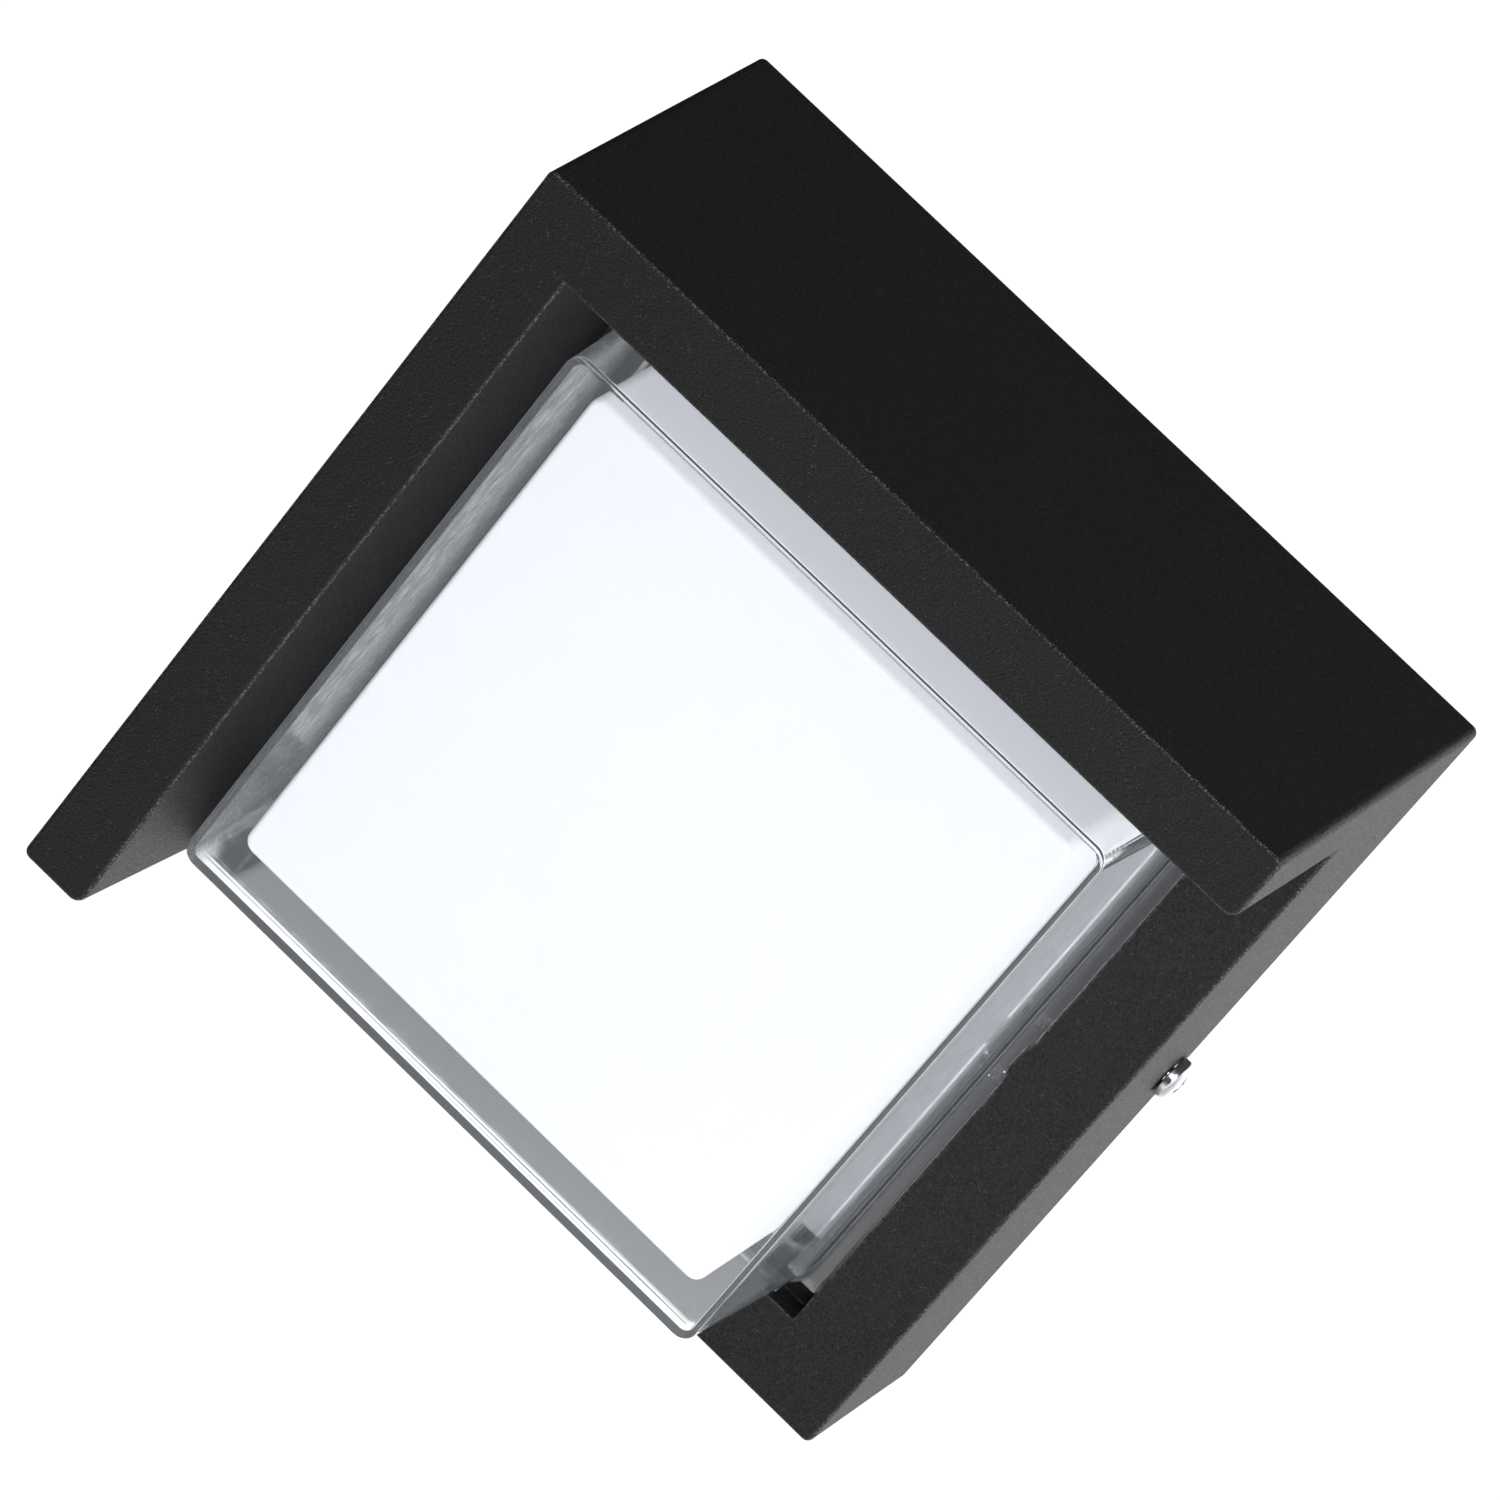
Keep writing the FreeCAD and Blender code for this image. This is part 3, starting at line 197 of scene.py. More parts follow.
# Wear against how far a surface faces the front: only rounded front edges are worn.
FRONT_EDGE = [(0.0, 0.0), (0.3, 0.0), (0.5, 1.0), (0.85, 1.0), (0.96, 0.0), (1.0, 0.0)]
WORN_PAINT = (0.1, 0.1, 0.098)
FLAKED_PAINT = (0.17, 0.17, 0.166)
PAINT_SPECK = (0.17, 0.17, 0.165)

# Colour and roughness of each moulded plastic, rubber, pad and circuit board.
MOULDED_SLOTS = {
    "board_white": ((0.82, 0.82, 0.8), 0.4),
    "white_silicone": ((0.72, 0.73, 0.72), 0.5),
    "led_yellow": ((0.85, 0.72, 0.22), 0.4),
    "grey_pad": ((0.35, 0.36, 0.38), 0.85),
    "driver_plastic": ((0.78, 0.78, 0.75), 0.5),
    "board_green": ((0.05, 0.25, 0.1), 0.3),
    "driver_core": ((0.08, 0.08, 0.09), 0.6),
    "terminal_plastic": ((0.86, 0.85, 0.8), 0.5),
    "lead_brown": ((0.2, 0.09, 0.04), 0.45),
    "lead_blue": ((0.04, 0.12, 0.45), 0.45),
    "lead_green": ((0.2, 0.5, 0.08), 0.45),
    "lead_red": ((0.55, 0.03, 0.03), 0.45),
    "lead_black": ((0.02, 0.02, 0.02), 0.45),
}


# ---------------------------------------------------------------- camera, floor and light

def make_camera():
    """The camera at the photograph's viewing angle."""
    data = bpy.data.cameras.new("camera")
    data.lens = CAMERA_LENS
    data.sensor_width = SENSOR
    data.clip_end = CAMERA_REACH
    camera = bpy.data.objects.new("camera", data)
    turn = Euler((0, 0, math.radians(CAMERA_AZIMUTH))).to_matrix()
    tilt = Euler((math.radians(90 - CAMERA_ELEVATION), 0, 0)).to_matrix()
    roll = Euler((0, 0, math.radians(CAMERA_ROLL))).to_matrix()
    camera.matrix_world = (turn @ tilt @ roll).to_4x4()
    camera.location = CAMERA_PLACE
    bpy.context.scene.collection.objects.link(camera)
    bpy.context.scene.camera = camera


def make_floor():
    """A plain pale floor, white to the camera, that lights the lamp as FLOOR_GLOW says."""
    bpy.ops.mesh.primitive_plane_add(size=FLOOR_SIZE, location=(0, 0, FLOOR_HEIGHT))
    floor = bpy.context.object
    floor.name = "floor"
    material, shader = new_material("pale_floor")
    shader.inputs["Base Color"].default_value = (0.9, 0.9, 0.9, 1)
    shader.inputs["Roughness"].default_value = 1.0
    shader.inputs["Specular IOR Level"].default_value = 0.0
    shader.inputs["Emission Color"].default_value = (1, 1, 1, 1)
    tree = material.node_tree
    depth = share_of_depth(tree, -FLOOR_GLOW_REACH, FLOOR_GLOW_REACH)
    glow = ramp(tree, depth, FLOOR_GLOW)
    seen = tree.nodes.new("ShaderNodeLightPath")
    level = tree.nodes.new("ShaderNodeMix")
    tree.links.new(seen.outputs["Is Camera Ray"], level.inputs["Factor"])
    tree.links.new(multiply_by(tree, glow, FLOOR_LEVEL), level.inputs["A"])
    level.inputs["B"].default_value = 1.0
    tree.links.new(level.outputs["Result"], shader.inputs["Emission Strength"])
    floor.data.materials.append(material)


def area_light(name, place, target, size, power):
    """A square soft light that faces a target."""
    data = bpy.data.lights.new(name, "AREA")
    data.size = size
    data.energy = power
    light = bpy.data.objects.new(name, data)
    light.location = place
    aim = Vector(target) - Vector(place)
    light.rotation_euler = aim.to_track_quat("-Z", "Y").to_euler()
    bpy.context.scene.collection.objects.link(light)


def make_lights():
    """One soft light from the right and in front, in a dim bluish room."""
    world = bpy.data.worlds.new("studio")
    bpy.context.scene.world = world
    world.use_nodes = True
    background = world.node_tree.nodes["Background"]
    background.inputs["Color"].default_value = ROOM_COLOUR
    background.inputs["Strength"].default_value = ROOM_LEVEL
    area_light("key", KEY_PLACE, (0, 0, 0), KEY_SIZE, KEY_POWER)
    bpy.context.scene.view_settings.view_transform = "Standard"


# ---------------------------------------------------------------- shader nodes

def new_material(name):
    """A material with only a Principled shader, and that shader."""
    material = bpy.data.materials.new(name)
    material.use_nodes = True
    return material, material.node_tree.nodes["Principled BSDF"]


def object_place(tree, stretch=(1, 1, 1)):
    """The point on the piece, in its own metres, stretched along its axes."""
    place = tree.nodes.new("ShaderNodeTexCoord")
    mapping = tree.nodes.new("ShaderNodeMapping")
    mapping.inputs["Scale"].default_value = stretch
    tree.links.new(place.outputs["Object"], mapping.inputs["Vector"])
    return mapping.outputs["Vector"]


def noise(tree, scale, detail, stretch=(1, 1, 1)):
    """Soft noise with a number of waves per metre."""
    node = tree.nodes.new("ShaderNodeTexNoise")
    node.inputs["Scale"].default_value = scale
    node.inputs["Detail"].default_value = detail
    tree.links.new(object_place(tree, stretch), node.inputs["Vector"])
    return node.outputs["Fac"]


def cells(tree, scale, output="Distance"):
    """Voronoi cells with a number of cells per metre."""
    node = tree.nodes.new("ShaderNodeTexVoronoi")
    node.inputs["Scale"].default_value = scale
    tree.links.new(object_place(tree), node.inputs["Vector"])
    return node.outputs[output]


def map_range(tree, value, low, high, to_low, to_high):
    """A value taken from one range to another and held inside it."""
    node = tree.nodes.new("ShaderNodeMapRange")
    node.inputs["From Min"].default_value = low
    node.inputs["From Max"].default_value = high
    node.inputs["To Min"].default_value = to_low
    node.inputs["To Max"].default_value = to_high
    tree.links.new(value, node.inputs["Value"])
    return node.outputs["Result"]


def share_along(tree, vector, direction):
    """The part of a vector that lies along a direction of the object."""
    node = tree.nodes.new("ShaderNodeVectorMath")
    node.operation = "DOT_PRODUCT"
    tree.links.new(vector, node.inputs[0])
    node.inputs[1].default_value = direction
    return node.outputs["Value"]


def facing(tree, direction):
    """How far the surface faces a direction of the object: 1 when square to it, 0 when edge on."""
    coords = tree.nodes.new("ShaderNodeTexCoord")
    return share_along(tree, coords.outputs["Normal"], direction)


def share_of_depth(tree, start, end):
    """How far the point has come from one place along the object's Y to another, 0 to 1."""
    split = tree.nodes.new("ShaderNodeSeparateXYZ")
    tree.links.new(object_place(tree), split.inputs["Vector"])
    return map_range(tree, split.outputs["Y"], start, end, 0.0, 1.0)


def multiply(tree, first, second):
    """The product of two values."""
    node = tree.nodes.new("ShaderNodeMath")
    node.operation = "MULTIPLY"
    tree.links.new(first, node.inputs[0])
    tree.links.new(second, node.inputs[1])
    return node.outputs["Value"]


def multiply_by(tree, value, factor):
    """A value times a number."""
    node = tree.nodes.new("ShaderNodeMath")
    node.operation = "MULTIPLY"
    tree.links.new(value, node.inputs[0])
    node.inputs[1].default_value = factor
    return node.outputs["Value"]


def absolute(tree, value):
    """A value without its sign."""
    node = tree.nodes.new("ShaderNodeMath")
    node.operation = "ABSOLUTE"
    tree.links.new(value, node.inputs[0])
    return node.outputs["Value"]


def ramp(tree, value, stops):
    """A grey level that follows a list of (position, level) stops."""
    node = tree.nodes.new("ShaderNodeValToRGB")
    elements = node.color_ramp.elements
    while len(elements) < len(stops):
        elements.new(0.5)
    for element, (position, level) in zip(elements, stops):
        element.position = position
        element.color = (level, level, level, 1)
    tree.links.new(value, node.inputs["Fac"])
    return node.outputs["Color"]


def blend_colours(tree, factor, low, high):
    """A colour between two colours, either of which may be a socket."""
    node = tree.nodes.new("ShaderNodeMix")
    node.data_type = "RGBA"
    tree.links.new(factor, node.inputs["Factor"])
    for socket, colour in zip((node.inputs[6], node.inputs[7]), (low, high)):
        if isinstance(colour, tuple):
            socket.default_value = (*colour, 1)
        else:
            tree.links.new(colour, socket)
    return node.outputs[2]


def add_bump(tree, shader, layers):
    """Bumps from a list of (height, depth in metres), one on top of another."""
    normal = None
    for height, depth in layers:
        node = tree.nodes.new("ShaderNodeBump")
        node.inputs["Distance"].default_value = depth
        tree.links.new(height, node.inputs["Height"])
        if normal:
            tree.links.new(normal, node.inputs["Normal"])
        normal = node.outputs["Normal"]
    tree.links.new(normal, shader.inputs["Normal"])


def edge_wear(tree, radius, patches):
    """The patches' strength at edges and inner corners, 0 on flat faces."""
    rounded = tree.nodes.new("ShaderNodeBevel")
    rounded.samples = 6
    rounded.inputs["Radius"].default_value = radius
    geometry = tree.nodes.new("ShaderNodeNewGeometry")
    match = tree.nodes.new("ShaderNodeVectorMath")
    match.operation = "DOT_PRODUCT"
    tree.links.new(rounded.outputs["Normal"], match.inputs[0])
    tree.links.new(geometry.outputs["Normal"], match.inputs[1])
    edge = map_range(tree, match.outputs["Value"], 0.99, 0.9, 0.0, 1.0)
    return multiply(tree, edge, patches)


# ---------------------------------------------------------------- materials

def powder_coat(name="powder_coat", colour=(0.0105, 0.0108, 0.0107), roughness=0.56):
    """Matt black powder coat: fine grain, faint orange peel, specks and worn edges."""
    material, shader = new_material(name)
    tree = material.node_tree
    grain = noise(tree, 2600, 3.0)
    peel = noise(tree, 300, 2.0)
    pits = cells(tree, 2200)
    cloud = map_range(tree, noise(tree, 14, 2.0), 0.35, 0.65, 0.0, 1.0)
    darker = tuple(0.45 * level for level in colour)
    lighter = tuple(1.9 * level for level in colour)
    base = blend_colours(tree, cloud, colour, tuple(1.3 * level for level in colour))
    base = blend_colours(tree, map_range(tree, grain, 0.36, 0.5, 1.0, 0.0), base, darker)
    base = blend_colours(tree, map_range(tree, grain, 0.52, 0.68, 0.0, 1.0), base, lighter)
    speck = map_range(tree, cells(tree, 2000), 0.2, 0.1, 0.0, 1.0)
    rare = map_range(tree, noise(tree, 700, 1.0), 0.57, 0.63, 0.0, 1.0)
    base = blend_colours(tree, multiply(tree, speck, rare), base, PAINT_SPECK)
    patches = map_range(tree, noise(tree, 1500, 4.0), 0.45, 0.58, 0.0, 1.0)
    wear = edge_wear(tree, 0.0009, patches)
    base = blend_colours(tree, wear, base, WORN_PAINT)
    front_edge = ramp(tree, absolute(tree, facing(tree, (0, 1, 0))), FRONT_EDGE)
    flakes = map_range(tree, noise(tree, 3200, 2.0), 0.5, 0.62, 0.0, 1.0)
    base = blend_colours(tree, multiply(tree, front_edge, flakes), base, FLAKED_PAINT)
    tree.links.new(base, shader.inputs["Base Color"])
    tree.links.new(map_range(tree, grain, 0.3, 0.7, roughness + 0.14, roughness - 0.14),
                   shader.inputs["Roughness"])
    shader.inputs["Specular IOR Level"].default_value = 0.42
    add_bump(tree, shader, [(peel, 0.00008), (grain, 0.0001), (pits, 0.00006)])
    return material


def clear_plastic():
    """Clear polycarbonate: a polished front, hazy sides with fine mould lines, one side hazier."""
    material, shader = new_material("clear_plastic")
    tree = material.node_tree
    shader.inputs["Base Color"].default_value = (0.965, 0.975, 0.98, 1)
    shader.inputs["IOR"].default_value = 1.58
    shader.inputs["Transmission Weight"].default_value = 1.0
    # Painted light: the cover glows faintly all over.
    shader.inputs["Emission Color"].default_value = (0.88, 0.93, 1.0, 1)
    shader.inputs["Emission Strength"].default_value = COVER_PAINTED_GLOW
    sides = map_range(tree, absolute(tree, facing(tree, (0, 1, 0))), 0.75, 0.35, 0.0, 1.0)
    haze = map_range(tree, noise(tree, 300, 4.0), 0.3, 0.7, 0.02, 0.07)
    upper_left = map_range(tree, share_along(tree, object_place(tree), UPPER_LEFT),
                           CLOUDY_FROM, CLOUDY_TO, 1.0, CLOUDY_SIDE)
    tree.links.new(multiply(tree, multiply(tree, sides, haze), upper_left),
                   shader.inputs["Roughness"])
    lines = noise(tree, 1300, 1.0, (0.004, 1, 0.004))
    strength = ramp(tree, share_of_depth(tree, -FLANGE_TOP * MM, -COVER_TOP * MM), COVER_LINES)
    add_bump(tree, shader, [(noise(tree, 26, 1.0), 0.000008),
                            (multiply(tree, lines, multiply(tree, strength, sides)), 0.00003)])
    return material


def opal_plastic():
    """Opal white polycarbonate with painted light: it glows, brightest in front, with painted shade
    on faces turned up and dimmest at the upper left.
    """
    material, shader = new_material("opal_plastic")
    tree = material.node_tree
    shader.inputs["Roughness"].default_value = 0.45
    grain = noise(tree, 900, 2.0)
    cloud = map_range(tree, noise(tree, 10, 2.0), 0.3, 0.7, 0.0, 1.0)
    tree.links.new(blend_colours(tree, cloud, (0.86, 0.87, 0.9), (0.9, 0.91, 0.93)),
                   shader.inputs["Base Color"])
    # Painted light: the glow is a little brighter towards the front.
    front = share_of_depth(tree, -DIFFUSER_START * MM, -DIFFUSER_TOP * MM)
    glow = blend_colours(tree, front, (0.9, 0.93, 1.0), (0.95, 0.95, 1.0))
    # Painted shade: faces turned up glow dimmer and bluer, and faces turned to the upper left dimmer
    # still.
    away = map_range(tree, facing(tree, UPPER_LEFT), 0.2, 0.9, 0.0, 1.0)
    painted_shade_upward = map_range(tree, facing(tree, (0, 0, 1)), 0.2, 0.6, 0.0, 0.3)
    glow = blend_colours(tree, painted_shade_upward, glow, (0.5, 0.52, 0.6))
    glow = blend_colours(tree, away, glow, (0.4, 0.4, 0.405))
    tree.links.new(glow, shader.inputs["Emission Color"])
    shader.inputs["Emission Strength"].default_value = DIFFUSER_PAINTED_LIGHT
    add_bump(tree, shader, [(grain, 0.00001)])
    return material


def plain_metal(name, colour, roughness):
    """Bare or plated metal with fine marks, stains and bright worn edges."""
    material, shader = new_material(name)
    tree = material.node_tree
    shader.inputs["Metallic"].default_value = 1.0
    darker = tuple(0.72 * level for level in colour)
    stains = map_range(tree, noise(tree, 180, 3.0), 0.35, 0.6, 0.0, 1.0)
    base = blend_colours(tree, stains, darker, colour)
    patches = map_range(tree, noise(tree, 700, 2.0), 0.4, 0.6, 0.2, 0.8)
    wear = edge_wear(tree, 0.0003, patches)
    base = blend_colours(tree, wear, base, tuple(min(1.0, 1.25 * level) for level in colour))
    tree.links.new(base, shader.inputs["Base Color"])
    marks = noise(tree, 1600, 3.0)
    tree.links.new(map_range(tree, marks, 0.3, 0.7, roughness * 0.7, roughness * 1.3),
                   shader.inputs["Roughness"])
    add_bump(tree, shader, [(marks, 0.000008)])
    return material


def spangled_steel(name, colour):
    """Zinc-plated sheet: pale spangle, rolling marks and dull patches."""
    material, shader = new_material(name)
    tree = material.node_tree
    shader.inputs["Metallic"].default_value = 1.0
    darker = tuple(0.78 * level for level in colour)
    base = blend_colours(tree, cells(tree, 260, "Color"), darker, colour)
    dull = map_range(tree, noise(tree, 40, 4.0), 0.45, 0.7, 0.0, 0.5)
    base = blend_colours(tree, dull, base, (0.3, 0.3, 0.29))
    tree.links.new(base, shader.inputs["Base Color"])
    marks = noise(tree, 900, 3.0, (1, 1, 8))
    tree.links.new(map_range(tree, marks, 0.3, 0.7, 0.3, 0.48), shader.inputs["Roughness"])
    add_bump(tree, shader, [(marks, 0.00001)])
    return material


def moulded(name, colour, roughness, grain_depth=0.00002):
    """Moulded plastic or rubber: fine grain, slight colour drift and paler edges."""
    material, shader = new_material(name)
    tree = material.node_tree
    grain = noise(tree, 1300, 3.0)
    drift = map_range(tree, noise(tree, 45, 3.0), 0.3, 0.7, 0.0, 1.0)
    darker = tuple(0.82 * level for level in colour)
    base = blend_colours(tree, drift, darker, colour)
    patches = map_range(tree, noise(tree, 500, 2.0), 0.4, 0.6, 0.0, 0.5)
    pale = tuple(0.7 * level + 0.12 for level in colour)
    base = blend_colours(tree, edge_wear(tree, 0.0004, patches), base, pale)
    tree.links.new(base, shader.inputs["Base Color"])
    tree.links.new(map_range(tree, grain, 0.3, 0.7, roughness - 0.08, roughness + 0.08),
                   shader.inputs["Roughness"])
    add_bump(tree, shader, [(grain, grain_depth)])
    return material


def make_materials():
    """One material for each material slot of the record."""
    made = {
        "powder_coat": powder_coat(),
        "plate_steel": powder_coat("plate_steel", (0.02, 0.02, 0.021), 0.5),
        "clear_plastic": clear_plastic(),
        "opal_plastic": opal_plastic(),
        "bracket_steel": spangled_steel("bracket_steel", (0.6, 0.61, 0.62)),
        "zinc_steel": plain_metal("zinc_steel", (0.62, 0.62, 0.6), 0.35),
        "chrome_screw": plain_metal("chrome_screw", (0.8, 0.8, 0.82), 0.16),
        "brass_screw": plain_metal("brass_screw", (0.72, 0.55, 0.25), 0.3),
        "black_rubber": moulded("black_rubber", (0.02, 0.02, 0.02), 0.8, 0.00005),
    }
    for name, (colour, roughness) in MOULDED_SLOTS.items():
        made[name] = moulded(name, colour, roughness)
    return made


def dress_nodes(materials):
    """Gives every CAD node the material of its slot."""
    for part in frame["record"]["subparts"]:
        piece = nodes[part["node"]]
        piece.data.materials.clear()
        piece.data.materials.append(materials[part["material_slot"]])


# ---------------------------------------------------------------- mesh helpers

def rounded_ring(half, radius, height):
    """Points round a square with rounded corners, at a height, in the lamp's frame."""
    flat = half - radius
    points = []
    for corner, (across, up) in enumerate([(flat, flat), (-flat, flat), (-flat, -flat),
                                           (flat, -flat)]):
        for step in range(CORNER_STEPS + 1):
            angle = math.radians(90) * (corner + step / CORNER_STEPS)
            points.append(Vector((across + radius * math.cos(angle), -height,
                                  up + radius * math.sin(angle))))
    return points


def add_ring(mesh, points):
    """The vertices of one ring."""
    return [mesh.verts.new(LAMP_TURN @ (point * MM)) for point in points]


def join_rings(mesh, rings):
    """Quads between each ring and the next."""
    for lower, upper in zip(rings, rings[1:]):
        count = len(lower)
        for index in range(count):
            following = (index + 1) % count
            mesh.faces.new((lower[index], lower[following], upper[following], upper[index]))


def finish_piece(mesh, name, material, body):
    """Turns a bmesh into an object that rides on a body."""
    bmesh.ops.recalc_face_normals(mesh, faces=mesh.faces)
    data = bpy.data.meshes.new(name)
    mesh.to_mesh(data)
    mesh.free()
    piece = bpy.data.objects.new(name, data)
    bpy.context.scene.collection.objects.link(piece)
    data.materials.append(material)
    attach(piece, body)
    return piece


def shade(piece, angle=SHARP_ANGLE):
    """Smooth shading that keeps flat faces flat and edges over an angle sharp."""
    piece.data.shade_smooth()
    piece.data.set_sharp_from_angle(angle=math.radians(angle))
    weighted = piece.modifiers.new("flat_faces", "WEIGHTED_NORMAL")
    weighted.keep_sharp = True


# ---------------------------------------------------------------- clear cover

def drafted_outline(root, front):
    """A function from a height to the half side and corner radius of a drafted box."""
    root_half, root_corner, root_height = root
    front_half, front_corner, front_height = front

    def outline(height):
        share = (height - root_height) / (front_height - root_height)
        half = root_half + (front_half - root_half) * share
        corner = root_corner + (front_corner - root_corner) * share
        return half, corner

    return outline


def rounded_front(outline, top, fillet, steps=FILLET_STEPS):
    """(half, corner, height) up the walls' end and over the rounded front edge."""
    rings = []
    for step in range(steps + 1):
        turn = math.radians(90) * step / steps
        height = top - fillet * (1 - math.sin(turn))
        half, corner = outline(height)
        inset = fillet * (1 - math.cos(turn))
        rings.append((half - inset, max(corner - inset, LEAST_CORNER), height))
    return rings


def flared_root(outline, root, fillet):
    """(half, corner, height) from the flange up a hollow fillet to the wall."""
    rings = []
    for step in range(FILLET_STEPS + 1):
        turn = math.radians(90) * step / FILLET_STEPS
        height = root + fillet * (1 - math.cos(turn))
        half, corner = outline(height)
        spread = fillet * (1 - math.sin(turn))
        rings.append((half + spread, corner + spread, height))
    return rings


def shell_mesh(outer, inner):
    """A bmesh shell between outer and inner rings, open at the back and closed in front."""
    mesh = bmesh.new()
    outer_rings = [add_ring(mesh, rounded_ring(*ring)) for ring in outer]
    inner_rings = [add_ring(mesh, rounded_ring(*ring)) for ring in inner]
    join_rings(mesh, outer_rings)
    join_rings(mesh, inner_rings)
    join_rings(mesh, [outer_rings[0], inner_rings[0]])
    mesh.faces.new(outer_rings[-1])
    mesh.faces.new(inner_rings[-1])
    return mesh


def cover_rings():
    """The outer and the inner rings of the cover, from the flange to the front."""
    outside = drafted_outline((COVER_ROOT_HALF, COVER_ROOT_CORNER, FLANGE_TOP),
                              (COVER_FRONT_HALF, COVER_FRONT_CORNER, COVER_TOP))
    inside = drafted_outline((COVER_ROOT_HALF - COVER_WALL, COVER_ROOT_CORNER - COVER_WALL,
                              FLANGE_TOP),
                             (COVER_FRONT_HALF - COVER_WALL, COVER_FRONT_CORNER - COVER_WALL,
                              COVER_TOP - COVER_FRONT_THICKNESS))
    edge = FLANGE_EDGE
    outer = [(FLANGE_HALF - edge, FLANGE_CORNER - edge, FLANGE_START),
             (FLANGE_HALF, FLANGE_CORNER, FLANGE_START + edge),
             (FLANGE_HALF, FLANGE_CORNER, FLANGE_TOP - edge),
             (FLANGE_HALF - edge, FLANGE_CORNER - edge, FLANGE_TOP)]
    outer += flared_root(outside, FLANGE_TOP, COVER_ROOT_FILLET)
    outer += rounded_front(outside, COVER_TOP, COVER_FRONT_FILLET)
    half, corner = inside(FLANGE_TOP)
    inner = [(FLANGE_OPENING_HALF, FLANGE_OPENING_CORNER, FLANGE_START),
             (FLANGE_OPENING_HALF, FLANGE_OPENING_CORNER, FLANGE_TOP - edge),
             (FLANGE_OPENING_HALF + edge, FLANGE_OPENING_CORNER, FLANGE_TOP),
             (half, corner, FLANGE_TOP)]
    inner += rounded_front(inside, COVER_TOP - COVER_FRONT_THICKNESS, COVER_INNER_FILLET)
    return outer, inner


def cut_or_join(piece, mesh, name, operation):
    """Joins a bmesh solid to a piece, or cuts it from the piece."""
    bmesh.ops.recalc_face_normals(mesh, faces=mesh.faces)
    data = bpy.data.meshes.new(name)
    mesh.to_mesh(data)
    mesh.free()
    tool = bpy.data.objects.new(name, data)
    bpy.context.scene.collection.objects.link(tool)
    step = piece.modifiers.new(name, "BOOLEAN")
    step.operation = operation
    step.object = tool
    step.solver = "EXACT"
    apply_modifiers(piece)
    bpy.data.objects.remove(tool)
    bpy.data.meshes.remove(data)


def apply_modifiers(piece):
    """Replaces a piece's mesh by what its modifiers make of it."""
    graph = bpy.context.evaluated_depsgraph_get()
    made = bpy.data.meshes.new_from_object(piece.evaluated_get(graph))
    piece.modifiers.clear()
    piece.data = made


def prism(outline, low, high):
    """A bmesh solid between two heights over an outline of (across, up) points."""
    mesh = bmesh.new()
    rings = []
    for height in (low, high):
        points = [Vector((across, -height, up)) for across, up in outline]
        rings.append(add_ring(mesh, points))
    join_rings(mesh, rings)
    for ring in rings:
        mesh.faces.new(ring)
    return mesh


def quarter_turned(point, turns):
    """A point turned about the lamp's axis by a number of quarter turns."""
    across, up = point
    for _ in range(turns):
        across, up = -up, across
    return across, up


def block(inner, outer, low_side, high_side, turns):
    """The corners of a rectangle beyond one side of the lamp, turned by quarter turns."""
    corners = [(inner, low_side), (outer, low_side), (outer, high_side), (inner, high_side)]
    return [quarter_turned(corner, turns) for corner in corners]


def cut_flange(cover, turns):
    """Cuts one corner of the cover's flange away, and the notch for the key of one side."""
    far = FLANGE_HALF + CUT_MARGIN
    low = FLANGE_START - CUT_MARGIN
    pit = block(FLANGE_NOTCH_START, far, FLANGE_NOTCH_START, far, turns)
    cut_or_join(cover, prism(pit, low, FLANGE_TOP + PIT_ABOVE_FLANGE), "pit", "DIFFERENCE")
    corners = [(KEY_REACH, -KEY_TIP_HALF), (KEY_REACH, KEY_TIP_HALF),
               (far, KEY_HALF), (far, -KEY_HALF)]
    notch = [quarter_turned(corner, turns) for corner in corners]
    cut_or_join(cover, prism(notch, low, FLANGE_TOP + CUT_MARGIN), "notch", "DIFFERENCE")


def add_hooks(cover, turns):
    """The two snap hooks of one side: a stem down from the flange and a head that reaches out."""
    for side in (-1, 1):
        low_side = side * HOOK_SHIFT - HOOK_WIDTH / 2
        high_side = side * HOOK_SHIFT + HOOK_WIDTH / 2
        stem = block(HOOK_INNER, HOOK_OUTER, low_side, high_side, turns)
        cut_or_join(cover, prism(stem, HOOK_START, FLANGE_START + HOOK_ROOT), "stem", "UNION")
        head = block(HOOK_OUTER - HOOK_OVERLAP, HOOK_OUTER + HOOK_REACH,
                     low_side + HOOK_HEAD_INSET, high_side - HOOK_HEAD_INSET, turns)
        cut_or_join(cover, prism(head, HOOK_START + HOOK_HEAD_INSET, HOOK_HEAD_TOP), "head", "UNION")


def make_cover(material):
    """The clear box on its flange, with cut corners, key notches and snap hooks."""
    mesh = shell_mesh(*cover_rings())
    cover = finish_piece(mesh, "clear_cover_shell", material, "lamp")
    for turns in range(4):
        cut_flange(cover, turns)
        add_hooks(cover, turns)
    shade(cover)
    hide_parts("clear_cover")


# ---------------------------------------------------------------- opal diffuser

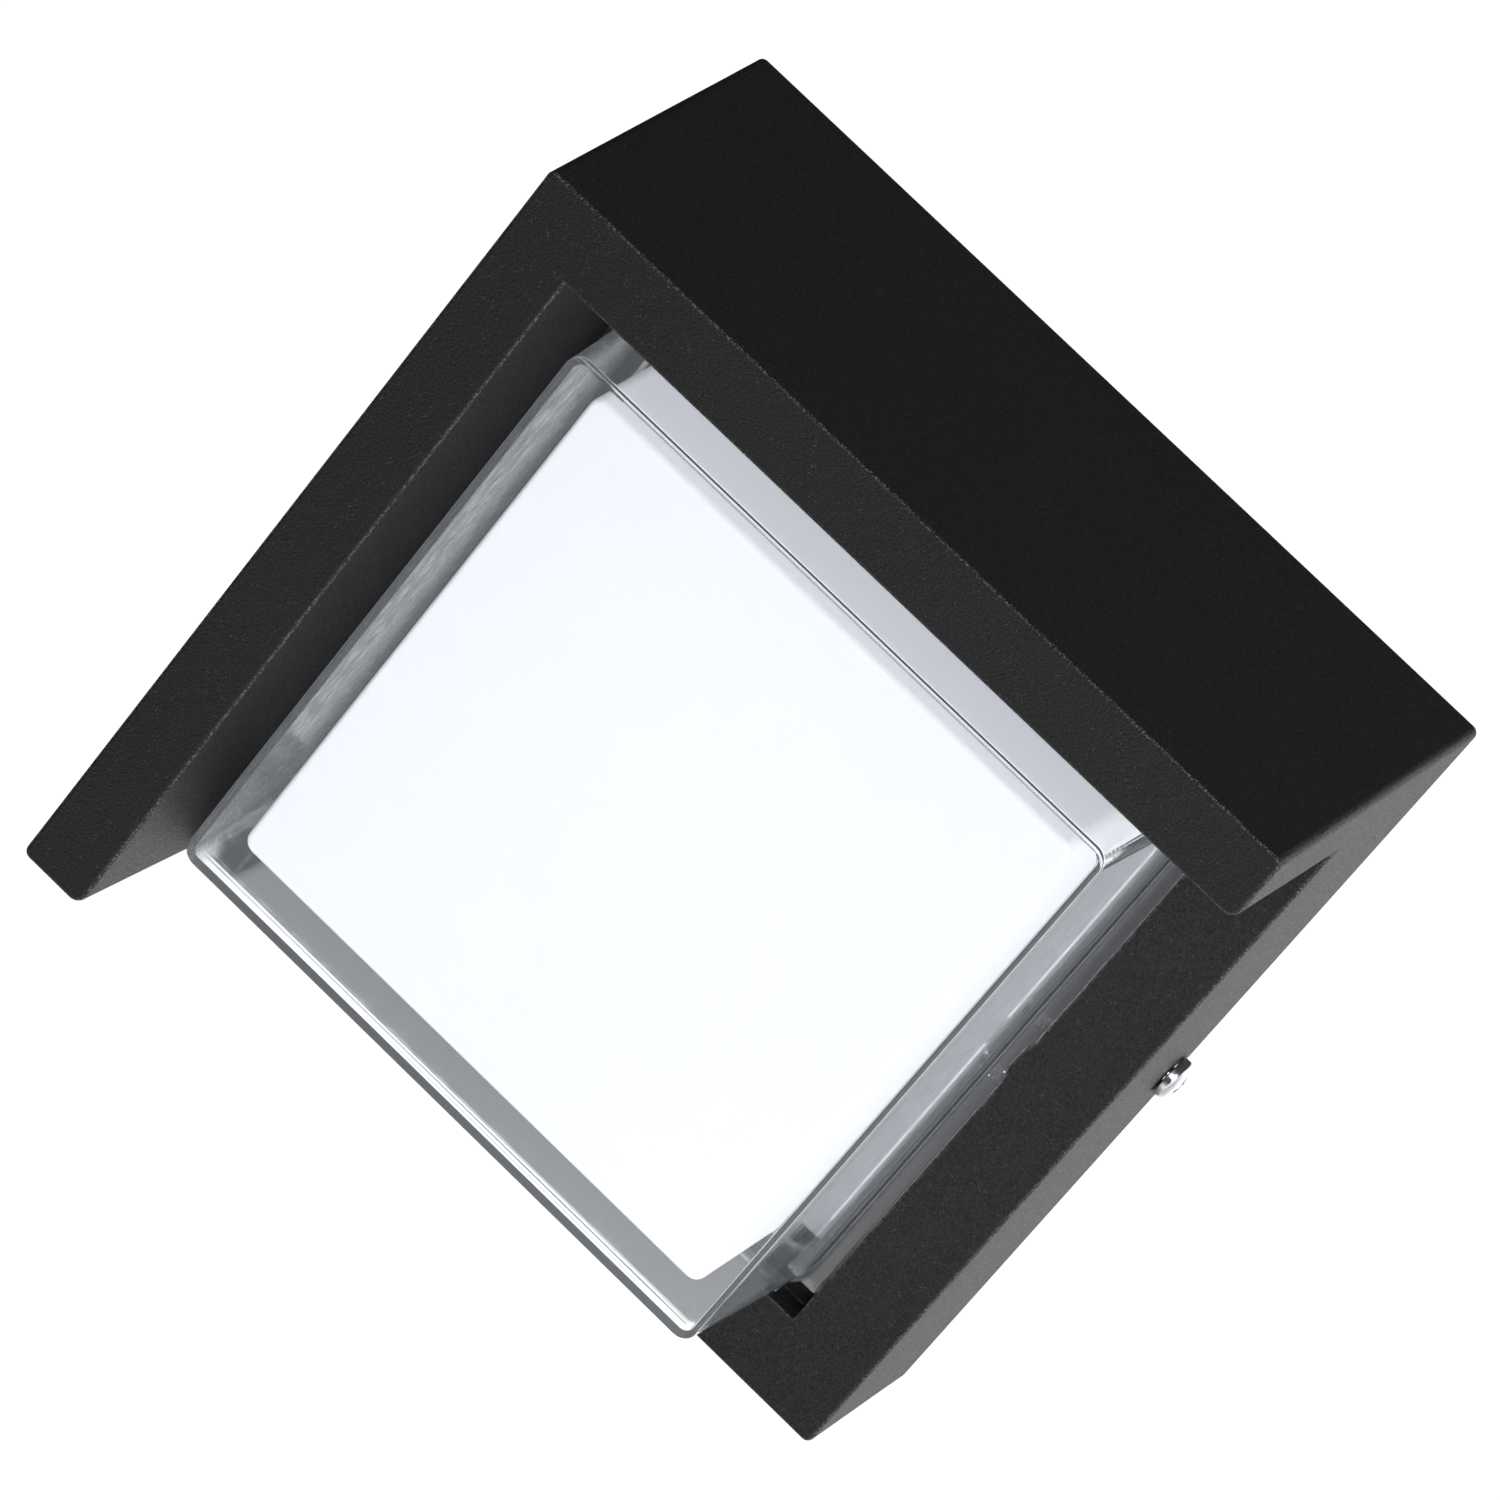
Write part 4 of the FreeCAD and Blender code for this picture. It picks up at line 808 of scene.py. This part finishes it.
def make_diffuser(material):
    """The opal box inside the cover, a thin shell with rounded front edges and a flange."""
    outside = drafted_outline((DIFFUSER_ROOT_HALF, DIFFUSER_ROOT_CORNER, DIFFUSER_FLANGE_TOP),
                              (DIFFUSER_FRONT_HALF, DIFFUSER_FRONT_CORNER, DIFFUSER_TOP))
    inside = drafted_outline((DIFFUSER_ROOT_HALF - DIFFUSER_WALL,
                              DIFFUSER_ROOT_CORNER - DIFFUSER_WALL, DIFFUSER_START),
                             (DIFFUSER_FRONT_HALF - DIFFUSER_WALL,
                              DIFFUSER_FRONT_CORNER - DIFFUSER_WALL,
                              DIFFUSER_TOP - DIFFUSER_WALL))
    edge = DIFFUSER_FLANGE_EDGE
    half = DIFFUSER_FLANGE_HALF
    corner = DIFFUSER_FLANGE_CORNER
    outer = [(half - edge, corner - edge, DIFFUSER_START),
             (half, corner, DIFFUSER_START + edge),
             (half, corner, DIFFUSER_FLANGE_TOP - edge),
             (half - edge, corner - edge, DIFFUSER_FLANGE_TOP)]
    outer += flared_root(outside, DIFFUSER_FLANGE_TOP, DIFFUSER_ROOT_FILLET)
    outer += rounded_front(outside, DIFFUSER_TOP, DIFFUSER_FRONT_FILLET, DIFFUSER_FRONT_STEPS)
    inner_half, inner_corner = inside(DIFFUSER_START)
    inner = [(inner_half, inner_corner, DIFFUSER_START)]
    inner += rounded_front(inside, DIFFUSER_TOP - DIFFUSER_WALL, DIFFUSER_INNER_FILLET)
    mesh = shell_mesh(outer, inner)
    diffuser = finish_piece(mesh, "opal_diffuser_shell", material, "lamp")
    shade(diffuser)
    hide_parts("opal_diffuser")


# ---------------------------------------------------------------- side screws

def screw_profile():
    """(radius, distance out from the seat) from the tip, along the thread, over the head."""
    profile = [(SCREW_POINT_RADIUS, -SCREW_LENGTH), (SCREW_TIP_RADIUS, -SCREW_LENGTH)]
    crest_start, crest_end = THREAD_CREST
    for index in range(int((SCREW_LENGTH - THREAD_ENDS) / THREAD_PITCH)):
        start = -SCREW_LENGTH + THREAD_START + index * THREAD_PITCH
        profile += [(THREAD_VALLEY, start), (SCREW_RADIUS, start + crest_start),
                    (SCREW_RADIUS, start + crest_end)]
    profile += [(THREAD_VALLEY, -SCREW_NECK_START), (THREAD_VALLEY, -SCREW_NECK_END),
                (SCREW_RADIUS, 0.0), (SCREW_HEAD_RADIUS - SCREW_HEAD_EDGE, 0.0),
                (SCREW_HEAD_RADIUS, SCREW_HEAD_EDGE), (SCREW_HEAD_RADIUS, SCREW_HEAD_SIDE)]
    for step in range(1, SCREW_HEAD_STEPS + 1):
        turn = math.radians(90) * step / SCREW_HEAD_STEPS
        radius = SCREW_HEAD_RADIUS * math.cos(turn) ** SCREW_DOME_POWER
        out = SCREW_HEAD_SIDE + (SCREW_HEAD_HEIGHT - SCREW_HEAD_SIDE) * math.sin(turn)
        profile.append((max(radius, SCREW_POINT_RADIUS), out))
    return profile


def screw_ring(side, radius, out):
    """Points round the screw's axis, at a distance out from the screw's seat."""
    points = []
    for step in range(SCREW_SIDES):
        angle = math.tau * step / SCREW_SIDES
        points.append(Vector((side * (SCREW_SEAT + out), -SCREW_HEIGHT + radius * math.cos(angle),
                              radius * math.sin(angle))))
    return points


def make_side_screw(name, side, material):
    """A bright pan-head screw with a rolled thread and a cross recess, in one side of the base."""
    mesh = bmesh.new()
    rings = [add_ring(mesh, screw_ring(side, radius, out)) for radius, out in screw_profile()]
    join_rings(mesh, rings)
    mesh.faces.new(rings[0])
    mesh.faces.new(rings[-1])
    body = name.replace("side_screw", "screw")
    piece = finish_piece(mesh, name + "_detail", material, body)
    for turned in (False, True):
        cut_or_join(piece, recess_arm(side, turned), "recess", "DIFFERENCE")
    shade(piece, SCREW_SHARP_ANGLE)
    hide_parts(name)


def recess_arm(side, turned):
    """One tapered bar of the cross recess."""
    mesh = bmesh.new()
    rings = []
    for level, share in ((RECESS_TOP, RECESS_TOP_SHARE), (RECESS_BOTTOM, RECESS_BOTTOM_SHARE)):
        corners = []
        for across, up in ((-1, -1), (1, -1), (1, 1), (-1, 1)):
            long = across * RECESS_ARM * share
            short = up * RECESS_HALF_WIDTH * share
            if turned:
                long, short = short, long
            y = long * math.cos(RECESS_TURN) - short * math.sin(RECESS_TURN)
            z = long * math.sin(RECESS_TURN) + short * math.cos(RECESS_TURN)
            corners.append(Vector((side * level, -SCREW_HEIGHT + y, z)))
        rings.append(add_ring(mesh, corners))
    join_rings(mesh, rings)
    for ring in rings:
        mesh.faces.new(ring)
    return mesh


# ---------------------------------------------------------------- whole scene

make_camera()
make_floor()
make_lights()
materials = make_materials()
dress_nodes(materials)
make_cover(materials["clear_plastic"])
make_diffuser(materials["opal_plastic"])
make_side_screw("side_screw_right", 1, materials["chrome_screw"])
make_side_screw("side_screw_left", -1, materials["chrome_screw"])
